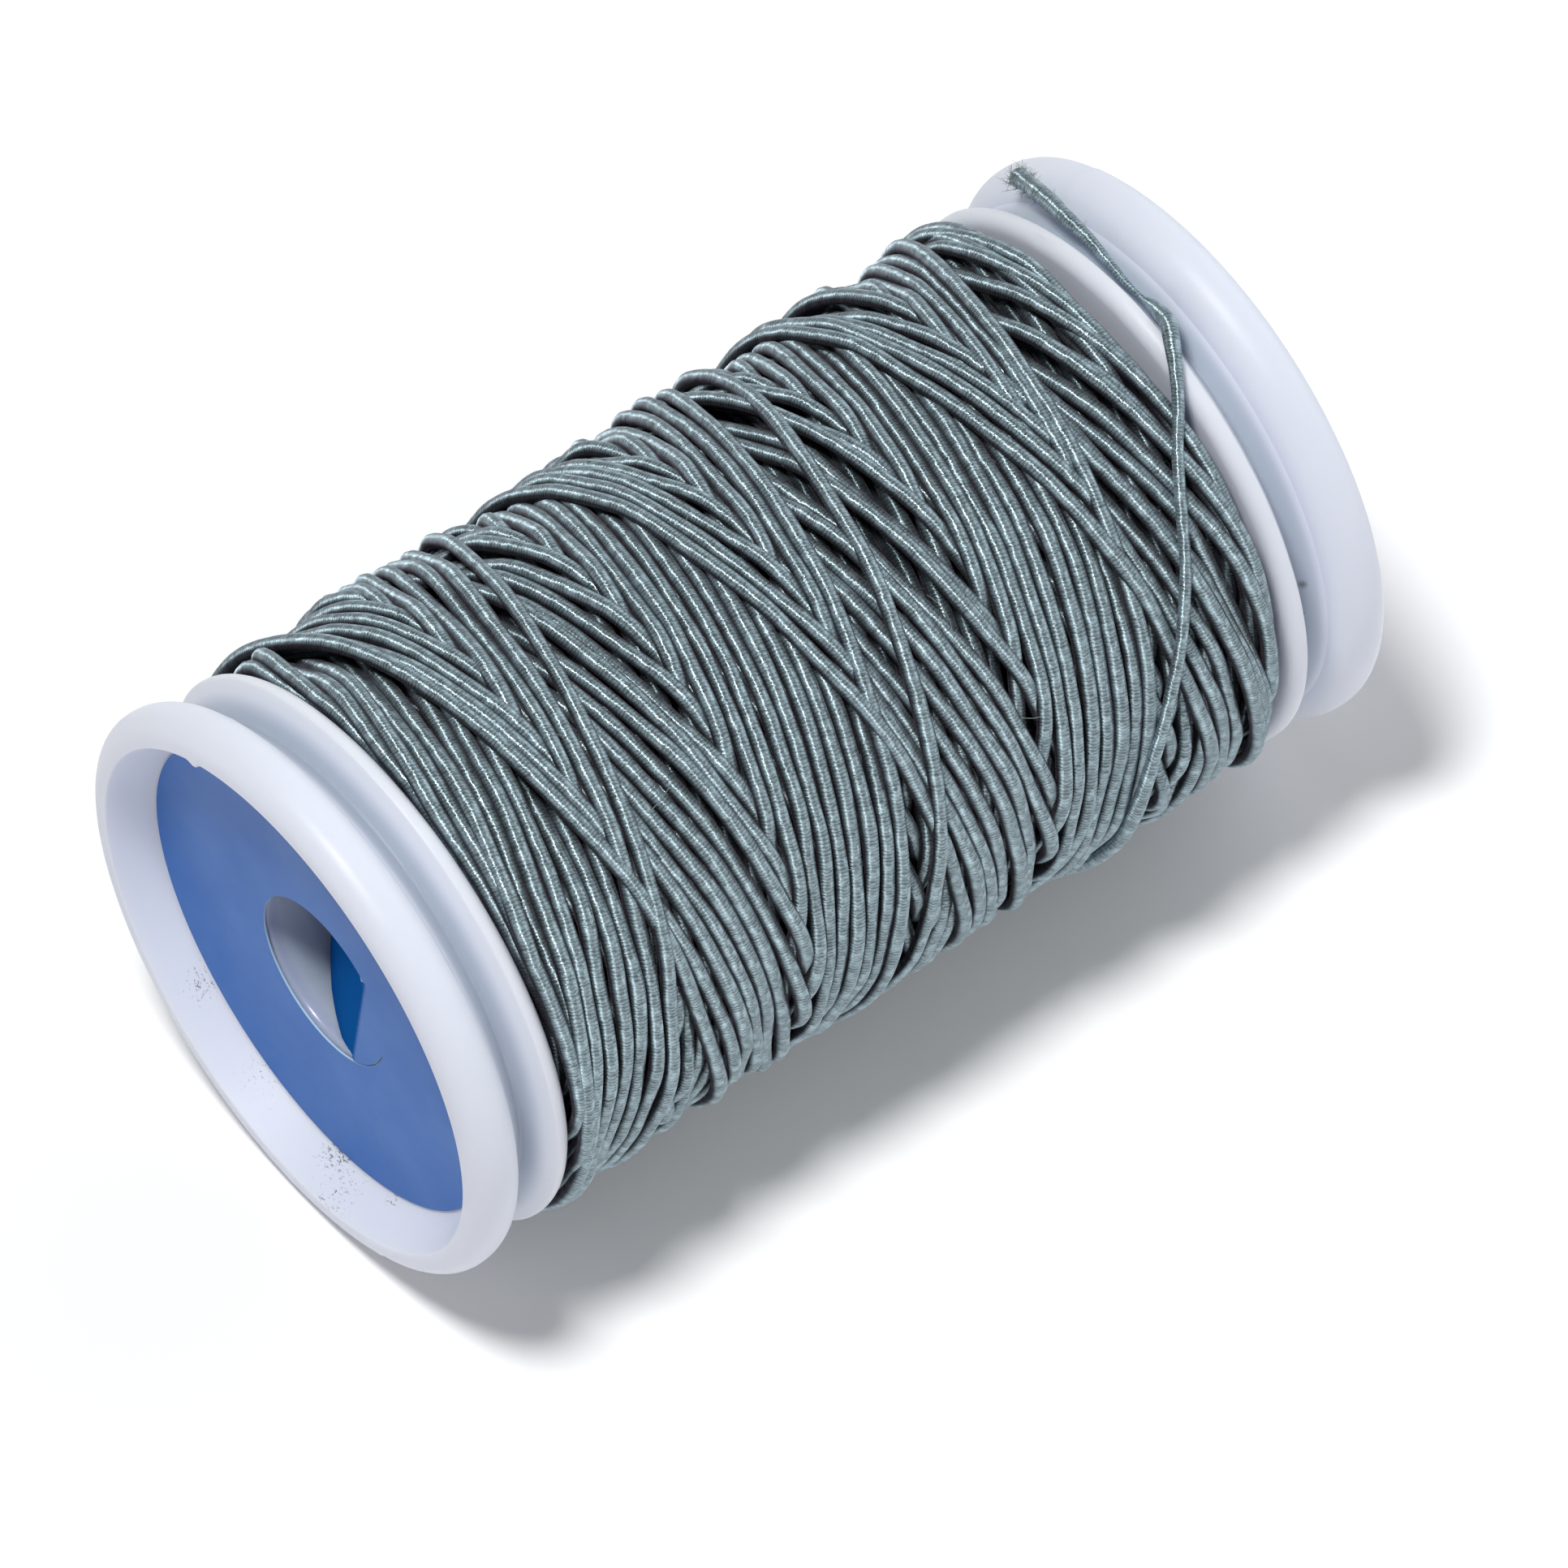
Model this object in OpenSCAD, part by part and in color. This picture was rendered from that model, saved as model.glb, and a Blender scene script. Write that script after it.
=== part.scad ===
// Spool of elastic sewing thread, lying on its rims.
// The spool's axis is Y, the labelled end is at -Y, and the origin is the middle of the bore.
// All sizes are in millimetres.

/* [Rims] */
// Length of the spool over both rims
spool_len = 50; // [46:0.5:56]
// Diameter of the two rims
rim_d = 27.75; // [27.5:0.25:30]
// Width of a rim, from the end face to the V-groove
rim_w = 2.7; // [2.4:0.1:3.4]
// Radius of the rolled outer edge of the end face
rim_round = 1.06; // [0.6:0.02:1.2]
// Radius of the rim's edge beside the V-groove
rim_shoulder = 0.6; // [0.3:0.05:0.8]
// Width of the flat ring left on the end face
rim_face_w = 0.28; // [0.2:0.02:0.6]

/* [V-groove for the thread's end] */
// Width of the groove at its mouth
groove_w = 1.69; // [1.4:0.01:2]
// Width of the groove at its bottom
groove_floor_w = 0.24; // [0.1:0.02:0.4]
// Depth of the groove below the inner flange's edge
groove_depth = 1.5; // [1:0.1:2]

/* [Inner flanges] */
// Diameter of the inner flanges
flange_d = 26.82; // [26.4:0.02:27.4]
// Width of an inner flange at its edge
flange_w = 0.87; // [0.8:0.01:1.4]
// Radius of the flange's edge beside the V-groove
flange_shoulder = 0.35; // [0.15:0.05:0.4]
// Radius of the flange's edge beside the thread
flange_round = 0.25; // [0.1:0.05:0.35]
// How much further the flange's thread side reaches in at the barrel than at its edge
flange_draft = 0.5; // [0.1:0.1:1]

/* [Recessed ends] */
// Depth of the recess below the end face
recess_depth = 2.13; // [1.4:0.01:3]
// How much the recess narrows from its lip to its floor, on the radius
recess_draft = 0.86; // [0.3:0.02:1.4]
// Radius that softens the lip of the recess
lip_round = 0.1; // [0.05:0.05:0.3]

/* [Barrel] */
// Diameter of the through bore
bore_d = 8.1; // [7:0.1:9]
// Chamfer at each end of the bore
bore_chamfer = 0.25; // [0.1:0.05:0.5]
// Wall of the barrel round the bore
barrel_wall = 1.6; // [1.2:0.1:2.2]

/* [Label] */
// Thickness of the paper label
label_t = 0.15; // [0.1:0.05:0.3]
// Gap between the label's rim and the recess wall
label_gap = 0.12; // [0.06:0.02:0.4]
// How much wider the label's hole is than the bore, on the radius
label_hole_gap = 0.3; // [0.25:0.05:0.6]

/* [Thread] */
// Diameter of the covered elastic thread, relaxed
thread_d = 0.72; // [0.5:0.02:0.76]
// How far the outer turns lie below the edge of the inner flanges
thread_below_edge = 0.21; // [0.1:0.01:0.6]
// Turns of the outer layers, half laid out and half laid back
wind_turns = 24; // [12:2:24]
// Gap between crossing layers of the outer turns
layer_gap = 0.45; // [0.42:0.01:0.5]
// Gap between the outer turns and the inner flanges
flange_gap = 0.15; // [0.1:0.05:0.5]
// Gap between the wound core and what it lies on or carries
core_gap = 0.05; // [0.03:0.01:0.1]

/* [Hidden] */
$fn = 96;

plastic_colour = [0.88, 0.90, 0.95];
label_colour = [0.20, 0.36, 0.66];
thread_colour = [0.47, 0.54, 0.54];

arc_steps = 8;
end_y = spool_len / 2;
rim_r = rim_d / 2;
floor_y = end_y - recess_depth;
lip_r = rim_r - rim_round - rim_face_w - lip_round;
recess_r = lip_r - recess_draft;
bore_r = bore_d / 2;
barrel_r = bore_r + barrel_wall;
flange_r = flange_d / 2;
rim_inner_y = end_y - rim_w;
flange_outer_y = rim_inner_y - groove_w;
flange_inner_y = flange_outer_y - flange_w;
groove_mid_y = rim_inner_y - groove_w / 2;
groove_r = flange_r - groove_depth;
groove_tilt = atan((groove_w - groove_floor_w) / 2 / groove_depth);
flange_tilt = atan(flange_draft / (flange_r - barrel_r));

// The free end of the thread, by hand: [angle about the axis, radius, place along the axis].
// It leaves the winding underneath, climbs over the +Y flange and lies in the V-groove.
TAIL_ROUTE = [
    [-84, 12.84, 8.4], [-76, 12.9, 8.7], [-68, 13.1, 9.0], [-60, 13.4, 9.3],
    [-52, 13.6, 9.6], [-44, 13.6, 9.9], [-36, 13.6, 10.2], [-28, 13.6, 10.5],
    [-20, 13.6, 10.8], [-12, 13.6, 11.0], [-4, 13.6, 11.3], [4, 13.6, 11.8],
    [11, 13.6, 12.5], [18, 13.6, 13.3], [25, 13.6, 14.2], [32, 13.6, 15.0],
    [38, 13.6, 15.7], [45, 13.6, 16.4], [51, 13.6, 17.1], [57, 13.6, 17.9],
    [63, 13.7, 18.9], [69, 13.8, 19.8], [74, 13.8, 20.5], [77.5, 13.6, 21.0],
    [80.5, 13.2, 21.2], [83.5, 12.9, 21.3], [87, 12.7, 21.3], [92, 12.7, 21.3],
    [98, 12.9, 21.4], [104, 13.2, 21.5], [110, 13.4, 21.6], [116, 13.6, 21.8],
    [122, 13.8, 22.0], [128, 14.1, 22.2]
];
tail_start = TAIL_ROUTE[0];
tail_sides = 8;

// The outer turns are one tube. It starts near the +Y flange, goes out to the -Y flange on the
// low radius, turns there, and comes back on the high radius to where the tail leaves it.
wind_rings = 24;
wind_sides = 6;
wind_r_high = flange_r - thread_below_edge - thread_d / 2;
ring_sag = wind_r_high * (1 - cos(180 / wind_rings));
wind_r_low = wind_r_high - thread_d - layer_gap - ring_sag;
half_turns = wind_turns / 2;
turn_round = 0.25;
wind_start_y = face_y(wind_r_high) - flange_gap - thread_d / 2;
wind_far_y = -face_y(wind_r_low) + flange_gap + thread_d / 2;
wind_end_y = tail_start[2];
out_pitch = (wind_start_y - wind_far_y) / half_turns;
back_pitch = (wind_end_y - wind_far_y) / half_turns;
// Past the last turn that comes back, the turns going out lie on the high radius too
step_from_y = wind_end_y + thread_d + layer_gap;
step_to_y = step_from_y + 3;
core_drop = ring_sag + thread_d / 2 + core_gap;

// Place along the axis of a flange's thread side, at a radius
function face_y(r) = flange_inner_y - flange_draft * (flange_r - r) / (flange_r - barrel_r);

function unit(v) = v / norm(v);

// A point from its angle about the axis, its radius and its place along the axis
function polar(p) = [p[1] * cos(p[0]), p[2], p[1] * sin(p[0])];

// Points of an arc from angle a to angle b
function arc(centre, r, a, b) = [
    for (i = [0 : arc_steps])
        let (angle = a + (b - a) * i / arc_steps)
            [centre[0] + r * cos(angle), centre[1] + r * sin(angle)]
];

// Outline of one end of the spool, from the bore round to the barrel: [radius, along]
function end_outline() = concat(
    [[bore_r, floor_y - bore_chamfer], [bore_r + bore_chamfer, floor_y], [recess_r, floor_y]],
    arc([lip_r + lip_round, end_y - lip_round], lip_round, 180 - recess_lean(), 90),
    arc([rim_r - rim_round, end_y - rim_round], rim_round, 90, 0),
    arc([rim_r - rim_shoulder, rim_inner_y + rim_shoulder], rim_shoulder, 0, groove_tilt - 90),
    [[groove_r, groove_mid_y + groove_floor_w / 2], [groove_r, groove_mid_y - groove_floor_w / 2]],
    arc([flange_r - flange_shoulder, flange_outer_y - flange_shoulder], flange_shoulder,
        90 - groove_tilt, 0),
    arc([flange_r - flange_round, flange_inner_y + flange_round], flange_round,
        0, flange_tilt - 90),
    [[barrel_r, face_y(barrel_r)]]
);

// How far the recess wall leans from the axis
function recess_lean() = atan(recess_draft / recess_depth);

function mirrored(points) = [
    for (i = [len(points) - 1 : -1 : 0]) [points[i][0], -points[i][1]]
];

// Turns a profile drawn as [radius, along] about the Y axis
module turned(points) {
    rotate([-90, 0, 0])
        rotate_extrude()
            polygon(points);
}

// Place of the outer turns along the axis after t turns: two even leads, joined by a round turn
function wind_y(t) =
    let (past = t - half_turns, into = past + turn_round)
        past <= -turn_round ? wind_far_y - out_pitch * past :
        past >= turn_round ? wind_far_y + back_pitch * past :
        wind_far_y - out_pitch * past
            + (out_pitch + back_pitch) * into * into / (4 * turn_round);

function ease(x) = let (k = min(1, max(0, x))) k * k * (3 - 2 * k);

// Radius of the thread's middle while it goes out, at a place along the axis
function out_r(y) =
    let (k = min(1, max(0, (y - step_from_y) / (step_to_y - step_from_y))))
        wind_r_low + (wind_r_high - wind_r_low) * k;

function wind_r(t) =
    let (climb = ease((t - half_turns + turn_round) / (2 * turn_round)))
        out_r(wind_y(t)) * (1 - climb) + wind_r_high * climb;

function wind_point(t) = polar([tail_start[0] + 360 * (t - wind_turns), wind_r(t), wind_y(t)]);

function wind_heading(t) = unit(wind_point(t + 0.001) - wind_point(t - 0.001));

tail_heading = wind_heading(wind_turns);

// The tube's ends run straight for one thread diameter
function wind_path() = concat(
    [wind_point(0) - thread_d * wind_heading(0)],
    [for (i = [0 : wind_turns * wind_rings - 1]) wind_point(i / wind_rings)],
    [polar(tail_start) - thread_d * tail_heading, polar(tail_start)]
);

function tail_path() = concat(
    [polar(tail_start), polar(tail_start) + thread_d * tail_heading],
    [for (i = [1 : len(TAIL_ROUTE) - 1]) polar(TAIL_ROUTE[i])]
);

// Least distance from surface to surface between stretches of a path at least half a turn apart
function least_gap(path, ring_count, d) =
    let (middles = [for (i = [0 : len(path) - 2]) (path[i] + path[i + 1]) / 2],
         last = len(middles) - 1)
        min([for (i = [0 : last - ring_count / 2])
            min([for (j = [i + ring_count / 2 : last])
                min(norm(path[i] - path[j]), norm(path[i] - middles[j]),
                    norm(middles[i] - path[j]))])]) - d;

// A ring of points round point i of a path, square to it, with its first point away from the axis
function ring(path, i, d, sides) =
    let (last = len(path) - 1,
         along = unit(path[min(i + 1, last)] - path[max(i - 1, 0)]),
         out = [path[i][0], 0, path[i][2]],
         across = unit(cross(along, out)),
         up = cross(across, along))
        [for (s = [0 : sides - 1])
            path[i] + d / 2 * (cos(360 * s / sides) * up + sin(360 * s / sides) * across)];

// A closed tube along a path
module tube(path, d, sides) {
    rings = len(path);
    points = [for (i = [0 : rings - 1]) each ring(path, i, d, sides)];
    walls = [
        for (i = [0 : rings - 2], s = [0 : sides - 1])
            let (a = i * sides + s,
                 b = i * sides + (s + 1) % sides)
                each [[a, a + sides, b], [b, a + sides, b + sides]]
    ];
    start_cap = [for (s = [1 : sides - 2]) [0, s, s + 1]];
    first = (rings - 1) * sides;
    end_cap = [for (s = [1 : sides - 2]) [first, first + s + 1, first + s]];
    polyhedron(points = points, faces = concat(walls, start_cap, end_cap));
}

// One moulding: barrel, bore, inner flanges, V-grooves, rolled rims and recessed ends
module spool_body() {
    outline = end_outline();
    color(plastic_colour)
        turned(concat(outline, mirrored(outline)));
}

// Paper disc on the floor of the -Y recess
module front_label() {
    label_r = recess_r - label_gap;
    color(label_colour)
        translate([0, -floor_y, 0])
            rotate([90, 0, 0])
                difference() {
                    cylinder(r = label_r, h = label_t);
                    translate([0, 0, -1])
                        cylinder(r = bore_r + label_hole_gap, h = label_t + 2);
                }
}

// The layers under the outer turns, as one plain ring that fills the barrel between the flanges
module thread_core() {
    inner_r = barrel_r + core_gap;
    low_r = wind_r_low - core_drop;
    high_r = wind_r_high - core_drop;
    inner_y = face_y(inner_r) - core_gap;
    color(thread_colour)
        turned([
            [inner_r, -inner_y], [low_r, core_gap - face_y(low_r)],
            [low_r, step_from_y], [high_r, step_to_y],
            [high_r, face_y(high_r) - core_gap], [inner_r, inner_y]
        ]);
}

// The outer turns, laid out and back across each other as one unbroken thread
module thread_winding() {
    echo(least_gap_of_the_turns = least_gap(wind_path(), wind_rings, thread_d));
    color(thread_colour)
        tube(wind_path(), thread_d, wind_sides);
}

// The free end of the thread, from the last turn to its cut end over the +Y rim
module thread_tail() {
    color(thread_colour)
        tube(tail_path(), thread_d, tail_sides);
}

spool_body();
front_label();
thread_core();
thread_winding();
thread_tail();
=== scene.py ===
"""Sewing-thread spool: a moulded spool, its paper label and the elastic thread wound on it.

Run as a script. Lengths are in metres, except in the tables and functions that say mm. The spool's
axis is Y, the labelled end is at -Y, and Z is up as the spool lies on its rims. Angles about the
axis are in degrees, from +X towards +Z.
"""

import math

import bmesh
import bpy
import numpy as np
from mathutils import Matrix, Vector


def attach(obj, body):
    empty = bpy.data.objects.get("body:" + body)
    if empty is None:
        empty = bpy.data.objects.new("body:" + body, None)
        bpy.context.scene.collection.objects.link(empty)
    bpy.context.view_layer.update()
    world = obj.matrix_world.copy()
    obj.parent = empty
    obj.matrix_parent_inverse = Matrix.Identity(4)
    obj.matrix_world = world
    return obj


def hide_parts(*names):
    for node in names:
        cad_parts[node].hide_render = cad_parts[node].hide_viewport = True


bl_info = {
    "name": "Sewing Thread Spool",
    "version": (1, 0, 0),
    "blender": (4, 5, 0),
    "location": "View3D > Sidebar > Spool",
    "description": "Builds a moulded spool wound with elastic sewing thread",
    "category": "Add Mesh",
}

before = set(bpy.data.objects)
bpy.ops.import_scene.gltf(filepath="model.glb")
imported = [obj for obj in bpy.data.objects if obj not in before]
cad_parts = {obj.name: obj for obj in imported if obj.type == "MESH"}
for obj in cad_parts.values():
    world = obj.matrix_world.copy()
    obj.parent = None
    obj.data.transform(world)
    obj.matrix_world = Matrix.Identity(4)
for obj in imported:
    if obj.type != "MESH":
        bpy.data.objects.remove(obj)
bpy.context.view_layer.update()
MM = 0.001
BODY = "root"
WHITE = (1.0, 1.0, 1.0, 1.0)

# The free end of the thread: (angle about the axis, radius, place along the axis), in mm
TAIL_ROUTE = [
    (-84, 12.84, 8.4), (-76, 12.9, 8.7), (-68, 13.1, 9.0), (-60, 13.4, 9.3),
    (-52, 13.6, 9.6), (-44, 13.6, 9.9), (-36, 13.6, 10.2), (-28, 13.6, 10.5),
    (-20, 13.6, 10.8), (-12, 13.6, 11.0), (-4, 13.6, 11.3), (4, 13.6, 11.8),
    (11, 13.6, 12.5), (18, 13.6, 13.3), (25, 13.6, 14.2), (32, 13.6, 15.0),
    (38, 13.6, 15.7), (45, 13.6, 16.4), (51, 13.6, 17.1), (57, 13.6, 17.9),
    (63, 13.7, 18.9), (69, 13.8, 19.8), (74, 13.8, 20.5), (77.5, 13.6, 21.0),
    (80.5, 13.2, 21.2), (83.5, 12.9, 21.3), (87, 12.7, 21.3), (92, 12.7, 21.3),
    (98, 12.9, 21.4), (104, 13.2, 21.5), (110, 13.4, 21.6), (116, 13.6, 21.8),
    (122, 13.8, 22.0), (128, 14.1, 22.2),
]
# Its half thickness in mm, against the angle: it is stretched thin up to the groove, pinched there,
# and full again at its tip
TAIL_HALF = [
    (-90, 0.36), (-12, 0.36), (2, 0.31), (20, 0.27), (50, 0.255), (66, 0.27), (72, 0.34),
    (77, 0.37), (80.5, 0.35), (83.5, 0.27), (85.5, 0.15), (88.5, 0.13), (92, 0.17), (97, 0.22),
    (103, 0.28), (109, 0.33), (115, 0.38), (121, 0.41), (125.5, 0.42), (127.5, 0.38),
    (128.5, 0.30),
]
# Loose hairs on the winding: (angle about the axis, place along it, length in mm, heading)
HAIRS = [(49, 4.5, 2.4, 70), (55, -9.9, 1.6, 200), (30, 5.8, 1.6, 330), (96, -2.0, 1.2, 20),
         (20, -3.5, 1.5, 120), (75, -13.2, 1.3, 300), (-150, 3.0, 1.8, 60),
         (-100, -9.0, 1.5, 10)]


# ---------------------------------------------------------------------------------------------
# Settings
# ---------------------------------------------------------------------------------------------

def length_prop(name, description, mm, low=0.0):
    return bpy.props.FloatProperty(name=name, description=description, default=mm * MM,
                                   min=low, precision=5, subtype="DISTANCE", unit="LENGTH")


def colour_prop(name, description, rgb):
    return bpy.props.FloatVectorProperty(name=name, description=description, default=(*rgb, 1.0),
                                         size=4, min=0.0, max=1.0, subtype="COLOR")


def factor_prop(name, description, value, high=1.0):
    return bpy.props.FloatProperty(name=name, description=description, default=value,
                                   min=0.0, max=high, subtype="FACTOR", unit="NONE")


def angle_prop(name, description, degrees):
    return bpy.props.FloatProperty(name=name, description=description,
                                   default=math.radians(degrees), subtype="ANGLE",
                                   unit="ROTATION")


def count_prop(name, description, count, low, high):
    return bpy.props.IntProperty(name=name, description=description, default=count,
                                 min=low, max=high)


class SpoolMouldingSettings(bpy.types.PropertyGroup):
    """Sizes and colour of the moulded spool"""

    length: length_prop("Length", "Length over both rims", 50.0)
    rim_diameter: length_prop("Rim diameter", "Diameter of both rims", 27.75)
    rim_width: length_prop("Rim width", "From the end face to the V-groove", 2.7)
    rim_round: length_prop("Rim roll", "Radius of the rolled outer edge", 1.06)
    rim_shoulder: length_prop("Rim shoulder", "Radius beside the V-groove", 1.55)
    rim_face: length_prop("Rim face", "Width of the flat ring on the end face", 0.28)
    groove_width: length_prop("Groove width", "Width of the V-groove at its mouth", 1.69)
    groove_floor: length_prop("Groove floor", "Width of the V-groove at its bottom", 0.24)
    groove_depth: length_prop("Groove depth", "Below the inner flange's edge", 1.5)
    flange_diameter: length_prop("Flange diameter", "Diameter of the inner flanges", 26.82)
    flange_width: length_prop("Flange width", "Width of an inner flange at its edge", 0.87)
    flange_shoulder: length_prop("Flange shoulder", "Radius beside the V-groove", 0.14)
    flange_round: length_prop("Flange round", "Radius beside the thread", 0.70)
    flange_draft: length_prop("Flange draft", "Lean of the flange's thread side", 0.5)
    recess_depth: length_prop("Recess depth", "Depth of the dished end", 2.13)
    recess_draft: length_prop("Recess draft", "Narrowing of the recess to its floor", 0.86)
    lip_round: length_prop("Lip round", "Radius of the recess's lip", 0.1)
    recess_fillet: length_prop("Recess fillet", "Radius in the recess's corner", 0.35)
    bore_diameter: length_prop("Bore diameter", "Diameter of the through bore", 8.1)
    bore_round: length_prop("Bore edge", "Radius at the bore's mouth", 0.35)
    barrel_wall: length_prop("Barrel wall", "Wall round the bore", 1.6)
    segments: count_prop("Segments", "Steps round the spool", 360, 48, 720)
    plastic_colour: colour_prop("Plastic", "Colour of the plastic", (0.77, 0.80, 0.875))


class LabelSettings(bpy.types.PropertyGroup):
    """Sizes and colours of the paper label"""

    radius: length_prop("Radius", "Radius of the label", 11.455)
    hole_radius: length_prop("Hole radius", "Radius of the cut over the bore", 4.2)
    hole_x: length_prop("Hole offset across", "How far the cut lies off the axis along X", 0.30)
    hole_z: length_prop("Hole offset up", "How far the cut lies off the axis along Z", 0.18)
    paper: length_prop("Paper", "Thickness of the paper", 0.09)
    blue: colour_prop("Ink", "Printed colour", (0.010, 0.145, 0.520))
    edge: colour_prop("Cut edge", "Colour of the cut paper edge", (0.45, 0.66, 0.80))


class ThreadSettings(bpy.types.PropertyGroup):
    """Sizes, laying and colours of the elastic thread"""

    diameter: length_prop("Diameter", "Diameter over the covering", 0.72)
    rib: length_prop("Rib", "Pitch of the covering's wraps", 0.17)
    spacing: length_prop("Spacing", "Sideways step from one layer to the next", 0.78)
    low_turn: length_prop("Front reversal", "Place along the axis where the lay turns back",
                          -20.3, low=-1.0)
    high_turn: length_prop("Back reversal", "Place along the axis where the lay turns out", 20.1)
    base_radius: length_prop("Base radius", "Radius of the hidden layers", 10.75)
    top_radius: length_prop("Top radius", "Radius that the thread's middle stays under", 13.42)
    cycles: count_prop("Cycles", "Layers laid out and back", 31, 4, 60)
    shown_cycles: count_prop("Modelled cycles", "Last layers that get their own strands",
                             26, 4, 60)
    seed: count_prop("Seed", "Seed of the small irregularities", 4, 0, 10000)
    colour: colour_prop("Thread", "Colour of the covering", (0.36, 0.47, 0.51))
    # Painted shade: a near-black colour for the gaps between strands and for the hidden layers
    deep_shade_colour: colour_prop("Painted deep shade", "Colour between the strands", (0.006, 0.016, 0.022))
    end_colour: colour_prop("Frayed end", "Colour of the loose fibres", (0.27, 0.31, 0.26))


class StageSettings(bpy.types.PropertyGroup):
    """Camera, lamps and floor"""

    lens: bpy.props.FloatProperty(name="Focal length", description="Camera lens in millimetres",
                                  default=341.98, min=10.0, max=1000.0)
    azimuth: angle_prop("Azimuth", "Camera's turn about Z from -Y", 51.408)
    elevation: angle_prop("Elevation", "Camera's height angle", 53.191)
    position: bpy.props.FloatVectorProperty(name="Camera", description="Place of the camera",
                                            default=(0.303993, -0.240310, 0.512519), size=3,
                                            subtype="TRANSLATION", unit="LENGTH")
    key_power: bpy.props.FloatProperty(name="Key", description="Strength of the key lamp",
                                       default=3.85, min=0.0)
    dome: factor_prop("Dome", "Strength of the light from all round", 0.05, 2.0)
    side_light: factor_prop("Side light", "Strength of the soft light from the back end",
                            1.7, 5.0)
    fill_light: factor_prop("Fill light", "Strength of the soft light from the +X side",
                            0.95, 5.0)
    floor_colour: colour_prop("Floor", "Colour of the floor", (0.86, 0.86, 0.87))


# ---------------------------------------------------------------------------------------------
# Helpers for meshes
# ---------------------------------------------------------------------------------------------

def deselect_all():
    if bpy.context.object and bpy.context.object.mode != "OBJECT":
        end_edit()
    bpy.ops.object.select_all(action="DESELECT")


def choose(piece):
    """Leaves this piece as the only selected one, and the active one."""
    deselect_all()
    piece.select_set(True)
    bpy.context.view_layer.objects.active = piece


def start_edit():
    """Enters edit mode with every point selected."""
    bpy.ops.object.mode_set(mode="EDIT")
    bpy.ops.mesh.select_mode(type="VERT")
    bpy.ops.mesh.select_all(action="SELECT")


def end_edit():
    bpy.ops.object.mode_set(mode="OBJECT")


def arc(centre, radius, start, end, steps=8):
    """Points [radius, along] of an arc, from angle start to angle end in degrees."""
    angles = [math.radians(start + (end - start) * i / steps) for i in range(steps + 1)]
    return [(centre[0] + radius * math.cos(a), centre[1] + radius * math.sin(a)) for a in angles]


def bell(value, middle, width):
    return np.exp(-0.5 * ((value - middle) / width) ** 2)


def smooth(t):
    """Eases 0..1 in and out."""
    return t * t * (3 - 2 * t)


def blurred(values, sigma):
    """Values smoothed over sigma samples."""
    reach = int(3 * sigma) + 1
    kernel = np.exp(-0.5 * (np.arange(-reach, reach + 1) / sigma) ** 2)
    kernel /= kernel.sum()
    return np.convolve(np.pad(values, reach, mode="edge"), kernel, mode="valid")


def smooth_noise(rng, count, sigma, amount):
    """Seeded noise, smoothed over sigma samples, with about amount as its spread."""
    regained = math.sqrt(sigma * 3.545)    # the spread that smoothing takes away
    return blurred(rng.normal(0, 1, count), sigma) * regained * amount


def noise_bands(rng, count, bands, start=0):
    """Sum of smooth noises (sigma, amount), added to start."""
    return sum((smooth_noise(rng, count, *band) for band in bands), start)


def polar(angle, radius, along):
    """A point from its angle in degrees about the axis, its radius and its place along it."""
    a = math.radians(angle)
    return Vector((radius * math.cos(a), along, radius * math.sin(a)))


def ring_points(angle, radius, along):
    """Points in metres from arrays: angles in degrees, radii and places along the axis in mm."""
    a = np.radians(angle)
    return np.stack([radius * np.cos(a), along, radius * np.sin(a)], axis=-1) * MM


def lengthwise(points):
    """The direction of a line at each of its points."""
    along = np.gradient(points, axis=0)
    return along / np.linalg.norm(along, axis=1)[:, None]


def distance_along(points):
    """How far each point lies along a line from its start."""
    step = np.linalg.norm(np.diff(points, axis=0), axis=1)
    return np.concatenate([[0], np.cumsum(step)])


def fine_line(route, step):
    """A smooth line through the points of a route, with about step between its own points."""
    padded = np.vstack([2 * route[0] - route[1], route, 2 * route[-1] - route[-2]])
    line = []
    for i in range(1, len(padded) - 2):
        a, b, c, d = padded[i - 1:i + 3]
        pieces = max(2, int(round(np.linalg.norm(c - b) / step)))
        t = np.arange(pieces)[:, None] / pieces
        line.append(0.5 * ((2 * b) + (c - a) * t + (2 * a - 5 * b + 4 * c - d) * t ** 2
                           + (3 * b - a - 3 * c + d) * t ** 3))
    line.append(route[-1][None])
    return np.concatenate(line)


def coords_of(piece):
    co = np.empty(len(piece.data.vertices) * 3)
    piece.data.vertices.foreach_get("co", co)
    return co.reshape(-1, 3)


def move_points(piece, co):
    piece.data.vertices.foreach_set("co", np.ascontiguousarray(co, dtype=np.float64).ravel())
    piece.data.update()


def radius_of(co):
    return np.hypot(co[:, 0], co[:, 2])


def angle_of(co):
    return np.degrees(np.arctan2(co[:, 2], co[:, 0]))


def scale_radius(co, factor):
    co[:, 0] *= factor
    co[:, 2] *= factor


def store(piece, name, domain, values):
    """Keeps a value for each point or corner, which the materials read."""
    layer = piece.data.attributes.new(name, "FLOAT", domain)
    layer.data.foreach_set("value", values)


def shade(piece, angle):
    choose(piece)
    bpy.ops.object.shade_smooth_by_angle(angle=math.radians(angle))


def finish_piece(piece, material):
    """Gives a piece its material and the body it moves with."""
    piece.data.materials.clear()
    piece.data.materials.append(material)
    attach(piece, BODY)


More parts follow.
